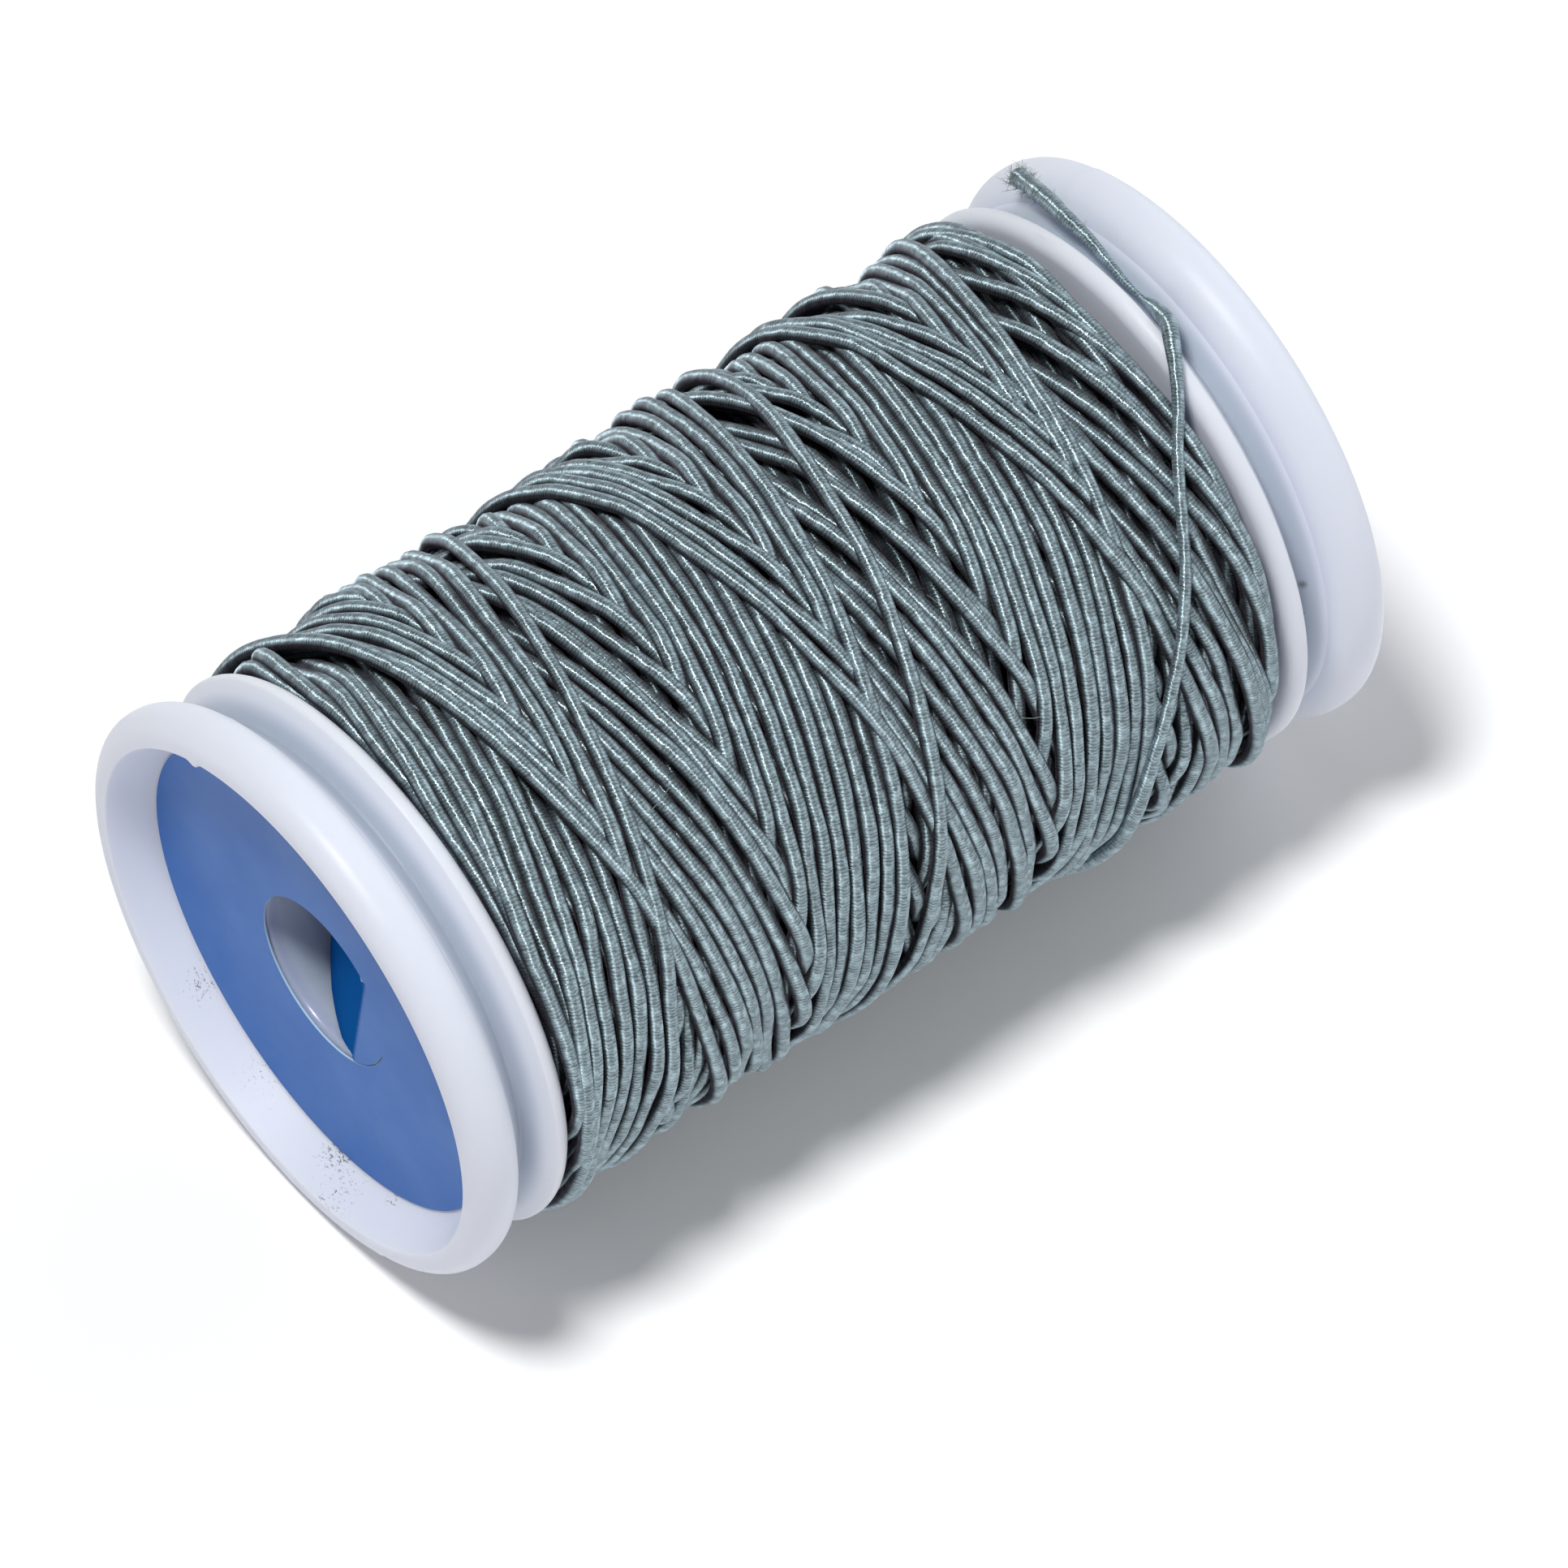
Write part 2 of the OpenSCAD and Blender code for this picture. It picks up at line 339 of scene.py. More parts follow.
def turned_piece(name, profile, segments):
    """Draws a closed profile [radius, along] from one vertex by extruding it, and spins it."""
    deselect_all()
    bpy.ops.mesh.primitive_plane_add(size=0.001, location=(*profile[0], 0.0))
    piece = bpy.context.object
    piece.name = name
    bpy.ops.object.transform_apply(location=True)
    start_edit()
    bpy.ops.mesh.merge(type="CENTER")
    for before, after in zip(profile, profile[1:]):
        step = (after[0] - before[0], after[1] - before[1], 0.0)
        bpy.ops.mesh.extrude_region_move(TRANSFORM_OT_translate={"value": step})
    bpy.ops.mesh.select_all(action="SELECT")
    bpy.ops.mesh.spin(steps=segments, angle=2 * math.pi, center=(0, 0, 0), axis=(0, 1, 0))
    bpy.ops.mesh.select_all(action="SELECT")
    bpy.ops.mesh.remove_doubles(threshold=2e-6)
    close_rings(piece)
    bpy.ops.mesh.select_all(action="SELECT")
    bpy.ops.mesh.normals_make_consistent(inside=False)
    end_edit()
    return piece


def close_rings(piece):
    """Bridges the first and last ring of a turned profile, so that the shell is closed."""
    bpy.ops.mesh.select_all(action="DESELECT")
    bpy.ops.mesh.select_mode(type="EDGE")
    bpy.ops.mesh.select_non_manifold(extend=False, use_wire=False, use_boundary=True,
                                     use_multi_face=False, use_non_contiguous=False,
                                     use_verts=False)
    bm = bmesh.from_edit_mesh(piece.data)
    if any(edge.select for edge in bm.edges):
        bpy.ops.mesh.bridge_edge_loops()
    bpy.ops.mesh.select_mode(type="VERT")


def tube_piece(name, runs, sides):
    """Closed tubes along runs of points. A run is (points, radial half-width, side half-width,
    start in mm): all are arrays but the last, which is where the covering's ribs begin."""
    verts, quads, caps, uvs = [], [], [], []
    base = 0
    turn = 2 * np.pi * np.arange(sides) / sides
    round_it = np.arange(sides)[None, :]
    corners = ((0, 0), (0, 1), (1, 1), (1, 0))    # steps along the tube and round it
    for points, high, wide, start in runs:
        along = lengthwise(points)
        across = np.cross(along, points * (1, 0, 1))
        across /= np.linalg.norm(across, axis=1)[:, None]
        up = np.cross(across, along)
        ring = (points[:, None] + high[:, None, None] * np.cos(turn)[None, :, None] * up[:, None]
                + wide[:, None, None] * np.sin(turn)[None, :, None] * across[:, None])
        verts.append(ring.reshape(-1, 3))
        travel = start + distance_along(points) / MM
        row = np.arange(len(points) - 1)[:, None]
        quads.append(np.stack([base + (row + a) * sides + (round_it + b) % sides
                               for a, b in corners], axis=-1).reshape(-1, 4))
        uvs.append(np.stack([np.stack(np.broadcast_arrays(travel[row + a],
                                                          round_it / sides + b / sides), -1)
                             for a, b in corners], axis=2).reshape(-1, 2))
        caps.append((base, base + (len(points) - 1) * sides, travel[0], travel[-1]))
        base += len(points) * sides
    loops = [np.concatenate(quads).ravel()]
    sizes = [np.full(len(loops[0]) // 4, 4)]
    for first, last, u0, u1 in caps:
        loops += [first + np.arange(sides)[::-1], last + np.arange(sides)]
        sizes.append(np.array([sides, sides]))
        uvs += [np.tile([[u0, 0.5]], (sides, 1)), np.tile([[u1, 0.5]], (sides, 1))]
    verts = np.concatenate(verts)
    loops = np.concatenate(loops).astype(np.int32)
    sizes = np.concatenate(sizes).astype(np.int32)
    starts = np.concatenate([[0], np.cumsum(sizes)[:-1]]).astype(np.int32)
    mesh = bpy.data.meshes.new(name)
    mesh.vertices.add(len(verts))
    mesh.vertices.foreach_set("co", verts.ravel())
    mesh.loops.add(len(loops))
    mesh.loops.foreach_set("vertex_index", loops)
    mesh.polygons.add(len(sizes))
    mesh.polygons.foreach_set("loop_start", starts)
    mesh.polygons.foreach_set("use_smooth", np.ones(len(sizes), dtype=bool))
    layer = mesh.uv_layers.new(name="thread_map")
    mesh.update(calc_edges=True)
    layer.data.foreach_set("uv", np.concatenate(uvs).ravel())
    mesh.validate()
    piece = bpy.data.objects.new(name, mesh)
    bpy.context.scene.collection.objects.link(piece)
    return piece


# ---------------------------------------------------------------------------------------------
# Helpers for shader nodes
# ---------------------------------------------------------------------------------------------

def connect(tree, socket, value):
    """Links a socket to another one, or sets it to a plain value."""
    if isinstance(value, bpy.types.NodeSocket):
        tree.links.new(value, socket)
    else:
        socket.default_value = value


def add(tree, kind, **values):
    """Adds a node. Each value goes to the property or the input of that name."""
    node = tree.nodes.new(kind)
    for key, value in values.items():
        if hasattr(node, key) and key not in node.inputs:
            setattr(node, key, value)
        else:
            connect(tree, node.inputs[key], value)
    return node


def new_group(name, inputs, outputs):
    """An empty shader node group. inputs are (name, kind, default or None), outputs are
    (name, kind). Returns the group, the sockets it is given and those it puts out."""
    group = bpy.data.node_groups.new(name, "ShaderNodeTree")
    for title, kind, value in inputs:
        socket = group.interface.new_socket(title, in_out="INPUT",
                                            socket_type=f"NodeSocket{kind}")
        if value is not None:
            socket.default_value = value
    for title, kind in outputs:
        group.interface.new_socket(title, in_out="OUTPUT", socket_type=f"NodeSocket{kind}")
    return (group, group.nodes.new("NodeGroupInput").outputs,
            group.nodes.new("NodeGroupOutput").inputs)


def place_group(tree, name, **values):
    """Places a shared group in a material, and returns its outputs."""
    node = tree.nodes.new("ShaderNodeGroup")
    node.node_tree = bpy.data.node_groups[name]
    for key, value in values.items():
        connect(tree, node.inputs[key], value)
    return node.outputs


def maths(tree, operation, *values, clamp=False):
    node = add(tree, "ShaderNodeMath", operation=operation, use_clamp=clamp)
    for socket, value in zip(node.inputs, values):
        connect(tree, socket, value)
    return node.outputs[0]


def plus(tree, a, b):
    return maths(tree, "ADD", a, b)


def minus(tree, a, b):
    return maths(tree, "SUBTRACT", a, b)


def times(tree, a, b):
    return maths(tree, "MULTIPLY", a, b)


def weighed(tree, *terms):
    """Sum of (socket, factor) pairs."""
    total = None
    for socket, factor in terms:
        part = times(tree, socket, factor)
        total = part if total is None else plus(tree, total, part)
    return total


def mix_colour(tree, factor, a, b):
    node = add(tree, "ShaderNodeMix", data_type="RGBA")
    for index, value in ((0, factor), (6, a), (7, b)):
        connect(tree, node.inputs[index], value)
    return node.outputs[2]


def ramp(tree, source, low, high):
    """Maps source from low..high to 0..1, smoothly."""
    node = add(tree, "ShaderNodeMapRange", interpolation_type="SMOOTHSTEP", Value=source)
    node.inputs["From Min"].default_value = low
    node.inputs["From Max"].default_value = high
    return node.outputs["Result"]


def noise(tree, place, scale, detail, roughness=0.5):
    return add(tree, "ShaderNodeTexNoise", Vector=place, Scale=scale, Detail=detail,
               Roughness=roughness).outputs["Fac"]


def stretched_noise(tree, place, scale, detail, roughness=0.5):
    """Noise with its own scale along each axis."""
    stretch = add(tree, "ShaderNodeMapping", Vector=place, Scale=scale)
    return noise(tree, stretch.outputs[0], 1.0, detail, roughness)


def split_xyz(tree, vector):
    node = add(tree, "ShaderNodeSeparateXYZ", Vector=vector)
    return [node.outputs[axis] for axis in "XYZ"]


def stored(tree, name):
    """A value that the mesh keeps for each point or corner."""
    return add(tree, "ShaderNodeAttribute", attribute_name=name).outputs["Fac"]


def object_place(tree):
    return tree.nodes.new("ShaderNodeTexCoord").outputs["Object"]


def bump(tree, height, strength, distance):
    return add(tree, "ShaderNodeBump", Strength=strength, Distance=distance,
               Height=height).outputs["Normal"]


def tinted(colour, factor):
    """A colour made lighter or darker by one factor, or by one for each channel."""
    factors = np.broadcast_to(factor, 3).tolist()
    return tuple(min(1.0, c * k) for c, k in zip(colour, factors)) + (1.0,)


def new_material(name):
    material = bpy.data.materials.new(name)
    material.use_nodes = True
    tree = material.node_tree
    return material, tree, tree.nodes["Principled BSDF"]


def finish_shader(tree, shader, values):
    for name, value in values.items():
        connect(tree, shader.inputs[name], value)


# ---------------------------------------------------------------------------------------------
# Shared shader groups
# ---------------------------------------------------------------------------------------------

def soft_mottle_group():
    """Slow change of a colour and of the gloss, in one material's own space."""
    group, given, result = new_group(
        "soft_mottle",
        [("Vector", "Vector", None), ("Colour", "Color", None), ("Shade", "Color", None),
         ("Scale", "Float", 200.0), ("Amount", "Float", 0.3)],
        [("Colour", "Color"), ("Mask", "Float")])
    mask = ramp(group, noise(group, given["Vector"], given["Scale"], 3.0, 0.55), 0.3, 0.7)
    factor = times(group, mask, given["Amount"])
    connect(group, result["Colour"], mix_colour(group, factor, given["Colour"], given["Shade"]))
    connect(group, result["Mask"], mask)


def specks_group():
    """Sparse small dark specks, as of dust or dirt on a moulding."""
    group, given, result = new_group(
        "specks",
        [("Vector", "Vector", None), ("Scale", "Float", 900.0), ("Size", "Float", 0.12),
         ("Share", "Float", 0.12)],
        [("Mask", "Float")])
    cells = add(group, "ShaderNodeTexVoronoi", Vector=given["Vector"], Scale=given["Scale"],
                Randomness=1.0)
    near = maths(group, "LESS_THAN", cells.outputs["Distance"], given["Size"])
    number = add(group, "ShaderNodeSeparateColor", Color=cells.outputs["Color"]).outputs[0]
    chosen = maths(group, "LESS_THAN", number, given["Share"])
    connect(group, result["Mask"], times(group, near, chosen))


def wrapped_thread_group():
    """The covering of the thread: fine wraps across it, with loose glints, from its thread map.
    Painted shade darkens it towards the gaps, by the depth stored on the strands, and in the
    valleys between the wraps."""
    group, given, result = new_group(
        "wrapped_thread",
        [("Colour", "Color", None), ("Valley", "Color", None), ("Glint", "Color", None),
         ("Gap", "Color", None), ("Rib", "Float", 0.17)],
        [("Colour", "Color"), ("Height", "Float"), ("Roughness", "Float")])
    uv = add(group, "ShaderNodeUVMap", uv_map="thread_map").outputs[0]
    travel, turn, _ = split_xyz(group, uv)
    wraps = plus(group, maths(group, "DIVIDE", travel, given["Rib"]), turn)

    def covering_noise(per_wrap, per_turn, detail=0.0, roughness=0.5):
        # The seam of the map lies on the hidden underside, where this noise may jump
        place = add(group, "ShaderNodeCombineXYZ", X=times(group, wraps, per_wrap),
                    Y=times(group, turn, per_turn))
        return noise(group, place.outputs[0], 1.0, detail, roughness)

    fibres = covering_noise(0.9, 6.0, 1.0, 0.6)
    patches = covering_noise(0.30, 3.0)
    # Single filaments shift the bright line a little to and fro
    filaments = covering_noise(2.6, 4.0)
    ribs = plus(group, wraps, times(group, fibres, 1.5))
    wave = maths(group, "SINE", times(group, ribs, 2 * math.pi))
    wave = plus(group, times(group, wave, 0.5), 0.5)
    height = weighed(group, (wave, 0.50), (fibres, 0.9), (patches, 3.2), (filaments, 1.1))
    # Painted shade in the valleys between the wraps
    base = mix_colour(group, ramp(group, wave, 0.05, 0.70), given["Valley"], given["Colour"])
    lit = times(group, ramp(group, patches, 0.42, 0.75), 0.45)
    colour = mix_colour(group, lit, base, given["Glint"])
    # Painted shade: flanks go dark where they lie in a crevice, and whole strands only far down
    depth = stored(group, "gap_depth")
    flank = minus(group, 1.0, maths(group, "COSINE", times(group, turn, 2 * math.pi)))
    crevice = times(group, ramp(group, flank, 0.14, 0.95), ramp(group, depth, 0.02, 0.20))
    far_down = times(group, ramp(group, depth, 0.45, 1.5), 0.80)
    gap_shade = maths(group, "MAXIMUM", times(group, crevice, 0.97), far_down)
    rough = minus(group, 0.52, times(group, ramp(group, fibres, 0.40, 0.66), 0.22))
    connect(group, result["Colour"], mix_colour(group, gap_shade, colour, given["Gap"]))
    connect(group, result["Height"], height)
    connect(group, result["Roughness"], plus(group, rough, times(group, crevice, 0.35)))


# ---------------------------------------------------------------------------------------------
# Materials
# ---------------------------------------------------------------------------------------------

# Where dirt sits on the moulding: (x, y, z) in mm, the patch's radius in mm, how dense it is, and
# how smudged. The last one is painted shade, not dirt: a dark smudge for a small pit in the back
# groove.
DIRT_AND_PIT_SHADE = [((-8.1, -23.5, -8.6), 1.5, 0.55, 0.0), ((1.1, -23.1, -11.6), 1.7, 0.8, 0.0),
        ((5.0, -23.1, -10.5), 0.9, 0.6, 0.0), ((2.4, -24.3, -11.9), 2.2, 0.35, 0.0),
        ((-3.8, -23.3, -11.1), 2.0, 0.2, 0.0), ((11.61, 21.65, 3.16), 0.34, 0.0, 0.75)]
# Dirt, and the painted shade of the pit
DIRT_AND_PIT_SHADE_COLOUR = (0.030, 0.028, 0.030, 1.0)
# Painted shade at the bottoms of the V-grooves
GROOVE_SHADE_COLOUR = (0.47, 0.53, 0.62, 1.0)
# Painted shade on the bore's wall
BORE_SHADE_COLOUR = (0.42, 0.47, 0.60, 1.0)
BORE_REACH, BORE_END = 0.0044, 0.02286                # radius, and distance from the middle
GROOVE_MIDDLE = 0.02146                               # distance from the middle
GROOVE_TOP, GROOVE_BOTTOM = 0.01300, 0.01215          # radii between which the painted shade deepens
GROOVE_EDGE, GROOVE_INNER = 0.00095, 0.00055          # distances from the groove's middle


def from_axis(tree, place):
    """The square of the distance from the axis, and the distance from the middle along it."""
    x, y, z = split_xyz(tree, place)
    return (plus(tree, times(tree, x, x), times(tree, z, z)), maths(tree, "ABSOLUTE", y))


def bore_mask(tree, place):
    """1 on the wall of the bore."""
    square, far = from_axis(tree, place)
    return times(tree, maths(tree, "LESS_THAN", square, BORE_REACH ** 2),
                 maths(tree, "LESS_THAN", far, BORE_END))


def groove_shade_mask(tree, place):
    """How deep a place lies in one of the two V-grooves, 0 to 1, where painted shade darkens the
    colour.
    """
    square, far = from_axis(tree, place)
    low = ramp(tree, maths(tree, "SQRT", square), GROOVE_TOP, GROOVE_BOTTOM)
    off = maths(tree, "ABSOLUTE", minus(tree, far, GROOVE_MIDDLE))
    return times(tree, low, ramp(tree, off, GROOVE_EDGE, GROOVE_INNER))


def dirt_and_pit_shade_mask(tree, place):
    """Fine dark streaks rubbed into the front recess's wall, a few specks, and a smudge of painted
    shade for a pit in the back groove.
    """
    grit = stretched_noise(tree, place, (4200.0, 8600.0, 4200.0), 3.0, 0.75)
    specks = place_group(tree, "specks", Vector=place, Scale=420.0, Size=0.045, Share=0.10)
    total = times(tree, specks["Mask"], 0.4)
    for middle, reach, dense, pit_shade_smudge in DIRT_AND_PIT_SHADE:
        apart = add(tree, "ShaderNodeVectorMath", operation="DISTANCE")
        connect(tree, apart.inputs[0], place)
        connect(tree, apart.inputs[1], [c * MM for c in middle])
        near = ramp(tree, apart.outputs["Value"], reach * MM, 0.0)
        level = plus(tree, times(tree, near, 0.16 * dense), grit)
        streaks = times(tree, ramp(tree, level, 0.645, 0.69), near) if dense else 0.0
        part = plus(tree, times(tree, near, pit_shade_smudge), streaks)
        total = maths(tree, "MAXIMUM", total, part)
    return times(tree, total, 0.85)


def spool_plastic(settings):
    """Glossy, slightly translucent plastic with a faint orange peel, rubbed-in dirt, and painted
    shade in the bore, the V-grooves and a pit in the back groove.
    """
    material, tree, shader = new_material("spool_plastic")
    place = object_place(tree)
    colour = tuple(settings.plastic_colour)
    mottle = place_group(tree, "soft_mottle", Vector=place, Colour=colour,
                         Shade=tinted(colour, (0.93, 0.95, 0.98)), Scale=55.0, Amount=0.3)
    # Painted shade: the bore's wall gets a darker, bluer colour, for the shade in the bore and the
    # dark thread behind its thin wall
    bore = bore_mask(tree, place)
    base = mix_colour(tree, bore, mottle["Colour"], BORE_SHADE_COLOUR)
    # Painted shade in the V-grooves
    base = mix_colour(tree, groove_shade_mask(tree, place), base, GROOVE_SHADE_COLOUR)
    # Dirt, and the painted shade of the pit in the back groove
    base = mix_colour(tree, dirt_and_pit_shade_mask(tree, place), base, DIRT_AND_PIT_SHADE_COLOUR)
    peel = noise(tree, place, 420.0, 1.0)
    drawn = times(tree, noise(tree, place, 3200.0, 3.0, 0.7), bore)
    height = plus(tree, peel, times(tree, drawn, 50.0))
    rough = plus(tree, times(tree, mottle["Mask"], 0.06), 0.40)
    finish_shader(tree, shader, {
        "Base Color": base,
        "Roughness": minus(tree, rough, times(tree, bore, 0.16)),
        "Normal": bump(tree, height, 0.04, 0.0001),
        "IOR": 1.46,
        "Subsurface Weight": 0.75,
        "Subsurface Radius": (1.0, 1.0, 1.08),
        "Subsurface Scale": 0.0009,
    })
    return material


def label_paper(settings):
    """Satin printed paper, plain blue, with pale cut edges."""
    material, tree, shader = new_material("label_paper")
    place = object_place(tree)
    colour = tuple(settings.blue)
    mottle = place_group(tree, "soft_mottle", Vector=place, Colour=colour,
                         Shade=tinted(colour, (0.80, 0.86, 0.94)), Scale=230.0, Amount=0.6)
    hanging = stored(tree, "hanging")
    # Painted shade: the flap that hangs in the bore gets a darker blue
    base = mix_colour(tree, hanging, mottle["Colour"], tinted(colour, 0.72))
    # The varnish lies on the flat disc, and is cracked off where the flap hangs in the bore
    varnish = plus(tree, times(tree, mottle["Mask"], -0.14), 1.0)
    finish_shader(tree, shader, {
        "Base Color": mix_colour(tree, stored(tree, "cut_edge"), base, tuple(settings.edge)),
        "Roughness": 0.7,
        "Specular IOR Level": 0.0,
        "Normal": bump(tree, noise(tree, place, 5200.0, 3.0), 0.12, 0.00002),
        "Coat Weight": times(tree, varnish, minus(tree, 1.0, hanging)),
        "Coat Roughness": 0.40,
        "Coat IOR": 1.42,
    })
    return material


def thread_cover(settings):
    """The thread's shiny filament covering. The wraps run across the thread, so its gloss is
    stretched along it into one bright line."""
    _, tree, shader = new_material("thread_cover")
    colour = tuple(settings.colour)
    cover = place_group(tree, "wrapped_thread", Colour=colour, Valley=tinted(colour, 0.50),
                        Glint=tinted(colour, 1.75), Gap=tuple(settings.deep_shade_colour),
                        Rib=settings.rib / MM)
    along = add(tree, "ShaderNodeTangent", direction_type="UV_MAP", uv_map="thread_map")
    finish_shader(tree, shader, {
        "Base Color": cover["Colour"],
        "Roughness": cover["Roughness"],
        "Normal": bump(tree, cover["Height"], 0.6, 0.00004),
        "Tangent": along.outputs[0],
        "Anisotropic": 1.0,
        # Satin: most of the shine takes the colour of the filaments, so the gaps, painted with
        # shade, stay dark
        "Metallic": 0.75,
        "IOR": 1.55,
        # The fine fuzz over the covering
        "Sheen Weight": 0.11,
        "Sheen Roughness": 0.45,
        "Sheen Tint": (0.95, 0.72, 0.92, 1.0),
    })


def thread_fibres(settings):
    """The bare fibres of the frayed tip and the loose hairs."""
    _, tree, shader = new_material("thread_fibres")
    mottle = place_group(tree, "soft_mottle", Vector=object_place(tree),
                         Colour=tuple(settings.end_colour),
                         Shade=tinted(tuple(settings.colour), 0.50), Scale=3000.0, Amount=1.0)
    finish_shader(tree, shader, {"Base Color": mottle["Colour"], "Roughness": 0.45})


def deep_thread_shade(settings):
    """The hidden layers, painted near-black as the shade between the strands."""
    material, tree, shader = new_material("thread_deep_shade")
    bands = stretched_noise(tree, object_place(tree), (90.0, 1500.0, 90.0), 2.0)
    deep = tuple(settings.deep_shade_colour)
    finish_shader(tree, shader, {
        "Base Color": mix_colour(tree, bands, deep, tinted(deep, 1.9)),
        "Normal": bump(tree, bands, 0.6, 0.0002),
        "Roughness": 0.7,
    })
    return material


def seen_rays(tree):
    """1 for the rays by which something is seen: straight, mirrored or through glass."""
    path = tree.nodes.new("ShaderNodeLightPath").outputs
    seen = maths(tree, "MAXIMUM", path["Is Camera Ray"], path["Is Glossy Ray"])
    return maths(tree, "MAXIMUM", seen, path["Is Transmission Ray"])


def floor_paper(settings):
    """Pale floor: white where it is seen, pale where it lights the spool; it keeps the shadow."""
    material, tree, shader = new_material("floor_paper")
    seen = seen_rays(tree)
    finish_shader(tree, shader, {
        "Base Color": mix_colour(tree, seen, tuple(settings.floor_colour), WHITE),
        "Emission Color": mix_colour(tree, seen, (0.0, 0.0, 0.0, 1.0), (0.06, 0.06, 0.06, 1.0)),
        "Emission Strength": 1.0,
        "Roughness": 1.0,
        "Specular IOR Level": 0.0,
    })
    return material


# ---------------------------------------------------------------------------------------------
# The spool's moulding
# ---------------------------------------------------------------------------------------------

# The split mould's traces. Sizes are in mm.
PARTING_LINES = ((1, 117.3), (1, -62.7), (-1, 117.3), (-1, -63.0))    # (end, angle)
PARTING_STEP, PARTING_FADE, PARTING_FLASH = 0.10, 2.6, 0.035          # fades over degrees
BEAD_ANGLE, BEAD_RADIUS, BEAD_HEIGHT, BEAD_FROM = 117.5, 12.44, 0.28, -24.6
DIMPLE_ANGLE, DIMPLE_RADIUS, DIMPLE_PLACE, DIMPLE_DEPTH = 109.7, 13.3, 19.75, 0.10
RIM_WAVE = 0.012


def flange_face(s, radius):
    """Place along the axis of a flange's thread side, at a radius."""
    inner = s.length / 2 - s.rim_width - s.groove_width - s.flange_width
    edge = s.flange_diameter / 2
    barrel = s.bore_diameter / 2 + s.barrel_wall
    return inner - s.flange_draft * (edge - radius) / (edge - barrel)


def end_outline(s):
    """Outline of the +Y end, from the bore round to the barrel: (radius, along)."""
    end = s.length / 2
    floor = end - s.recess_depth
    bore = s.bore_diameter / 2
    barrel = bore + s.barrel_wall
    rim = s.rim_diameter / 2
    flange = s.flange_diameter / 2
    lip = rim - s.rim_round - s.rim_face - s.lip_round
    recess = lip - s.recess_draft
    rim_in = end - s.rim_width
    flange_out = rim_in - s.groove_width
    groove_mid = rim_in - s.groove_width / 2
    groove_r = flange - s.groove_depth
    lean = math.degrees(math.atan(s.recess_draft / s.recess_depth))
    tilt = math.degrees(math.atan((s.groove_width - s.groove_floor) / 2 / s.groove_depth))
    draft = math.degrees(math.atan(s.flange_draft / (flange - barrel)))
    fillet = s.recess_fillet
    back = fillet * math.tan(math.radians((90 - lean) / 2))
    return (
        arc((bore + s.bore_round, floor - s.bore_round), s.bore_round, 180, 90, 6)
        + arc((recess - back, floor + fillet), fillet, -90, -lean, 6)
        + arc((lip + s.lip_round, end - s.lip_round), s.lip_round, 180 - lean, 90, 6)
        + arc((rim - s.rim_round, end - s.rim_round), s.rim_round, 90, 0, 16)
        + arc((rim - s.rim_shoulder, rim_in + s.rim_shoulder), s.rim_shoulder, 0, -78, 16)
        + arc((groove_r + 0.1 * MM, groove_mid), s.groove_floor / 2, 90 + tilt, 270 - tilt, 6)
        + arc((flange - s.flange_shoulder, flange_out - s.flange_shoulder), s.flange_shoulder,
              90 - tilt, 0, 8)
        + arc((flange - s.flange_round, flange_out - s.flange_width + s.flange_round),
              s.flange_round, 0, draft - 90, 8)
        + [(barrel, flange_face(s, barrel))]
    )


def mark_mould(piece, s):
    """Presses the split mould's traces into the moulding: parting steps, flash and a dimple."""
    co = coords_of(piece)
    radius, angle, y = radius_of(co), angle_of(co), co[:, 1]
    rim = s.rim_diameter / 2
    on_rim = np.clip((radius - (rim - 0.9 * MM)) / (0.5 * MM), 0, 1)
    for side, middle in PARTING_LINES:
        near = np.abs(y - side * (s.length / 2 - 1.2 * MM)) < 1.5 * MM
        # One half of the mould stands a little lower beside the parting line
        off = (angle - middle + 180) % 360 - 180
        step = np.where(off > 0, np.exp(-off / PARTING_FADE), 0) * PARTING_STEP * MM
        ridge = bell(off, 0, 0.5) * PARTING_FLASH * MM
        shift = (ridge - step) * on_rim * near
        scale_radius(co, (radius + shift) / radius)
        radius = radius + shift
    # A bead of flash on the front lip
    bead = (bell(angle, BEAD_ANGLE, 0.9) * bell(radius, BEAD_RADIUS * MM, 0.16 * MM)
            * (y < BEAD_FROM * MM))
    scale_radius(co, (radius - bead * BEAD_HEIGHT * MM) / radius)
    # A shallow dimple on the back flange's thread side
    spot = (bell(angle, DIMPLE_ANGLE, 0.9) * bell(radius, DIMPLE_RADIUS * MM, 0.13 * MM)
            * (np.abs(y - DIMPLE_PLACE * MM) < 0.4 * MM))
    co[:, 1] += spot * DIMPLE_DEPTH * MM
    # Slight waviness of the rolled rims, as a moulding has
    wave = RIM_WAVE * MM * np.sin(np.radians(angle * 3 + 40)) * on_rim
    scale_radius(co, 1 + wave / radius * (radius > 10 * MM))
    move_points(piece, co)


# ---------------------------------------------------------------------------------------------
# The label
# ---------------------------------------------------------------------------------------------

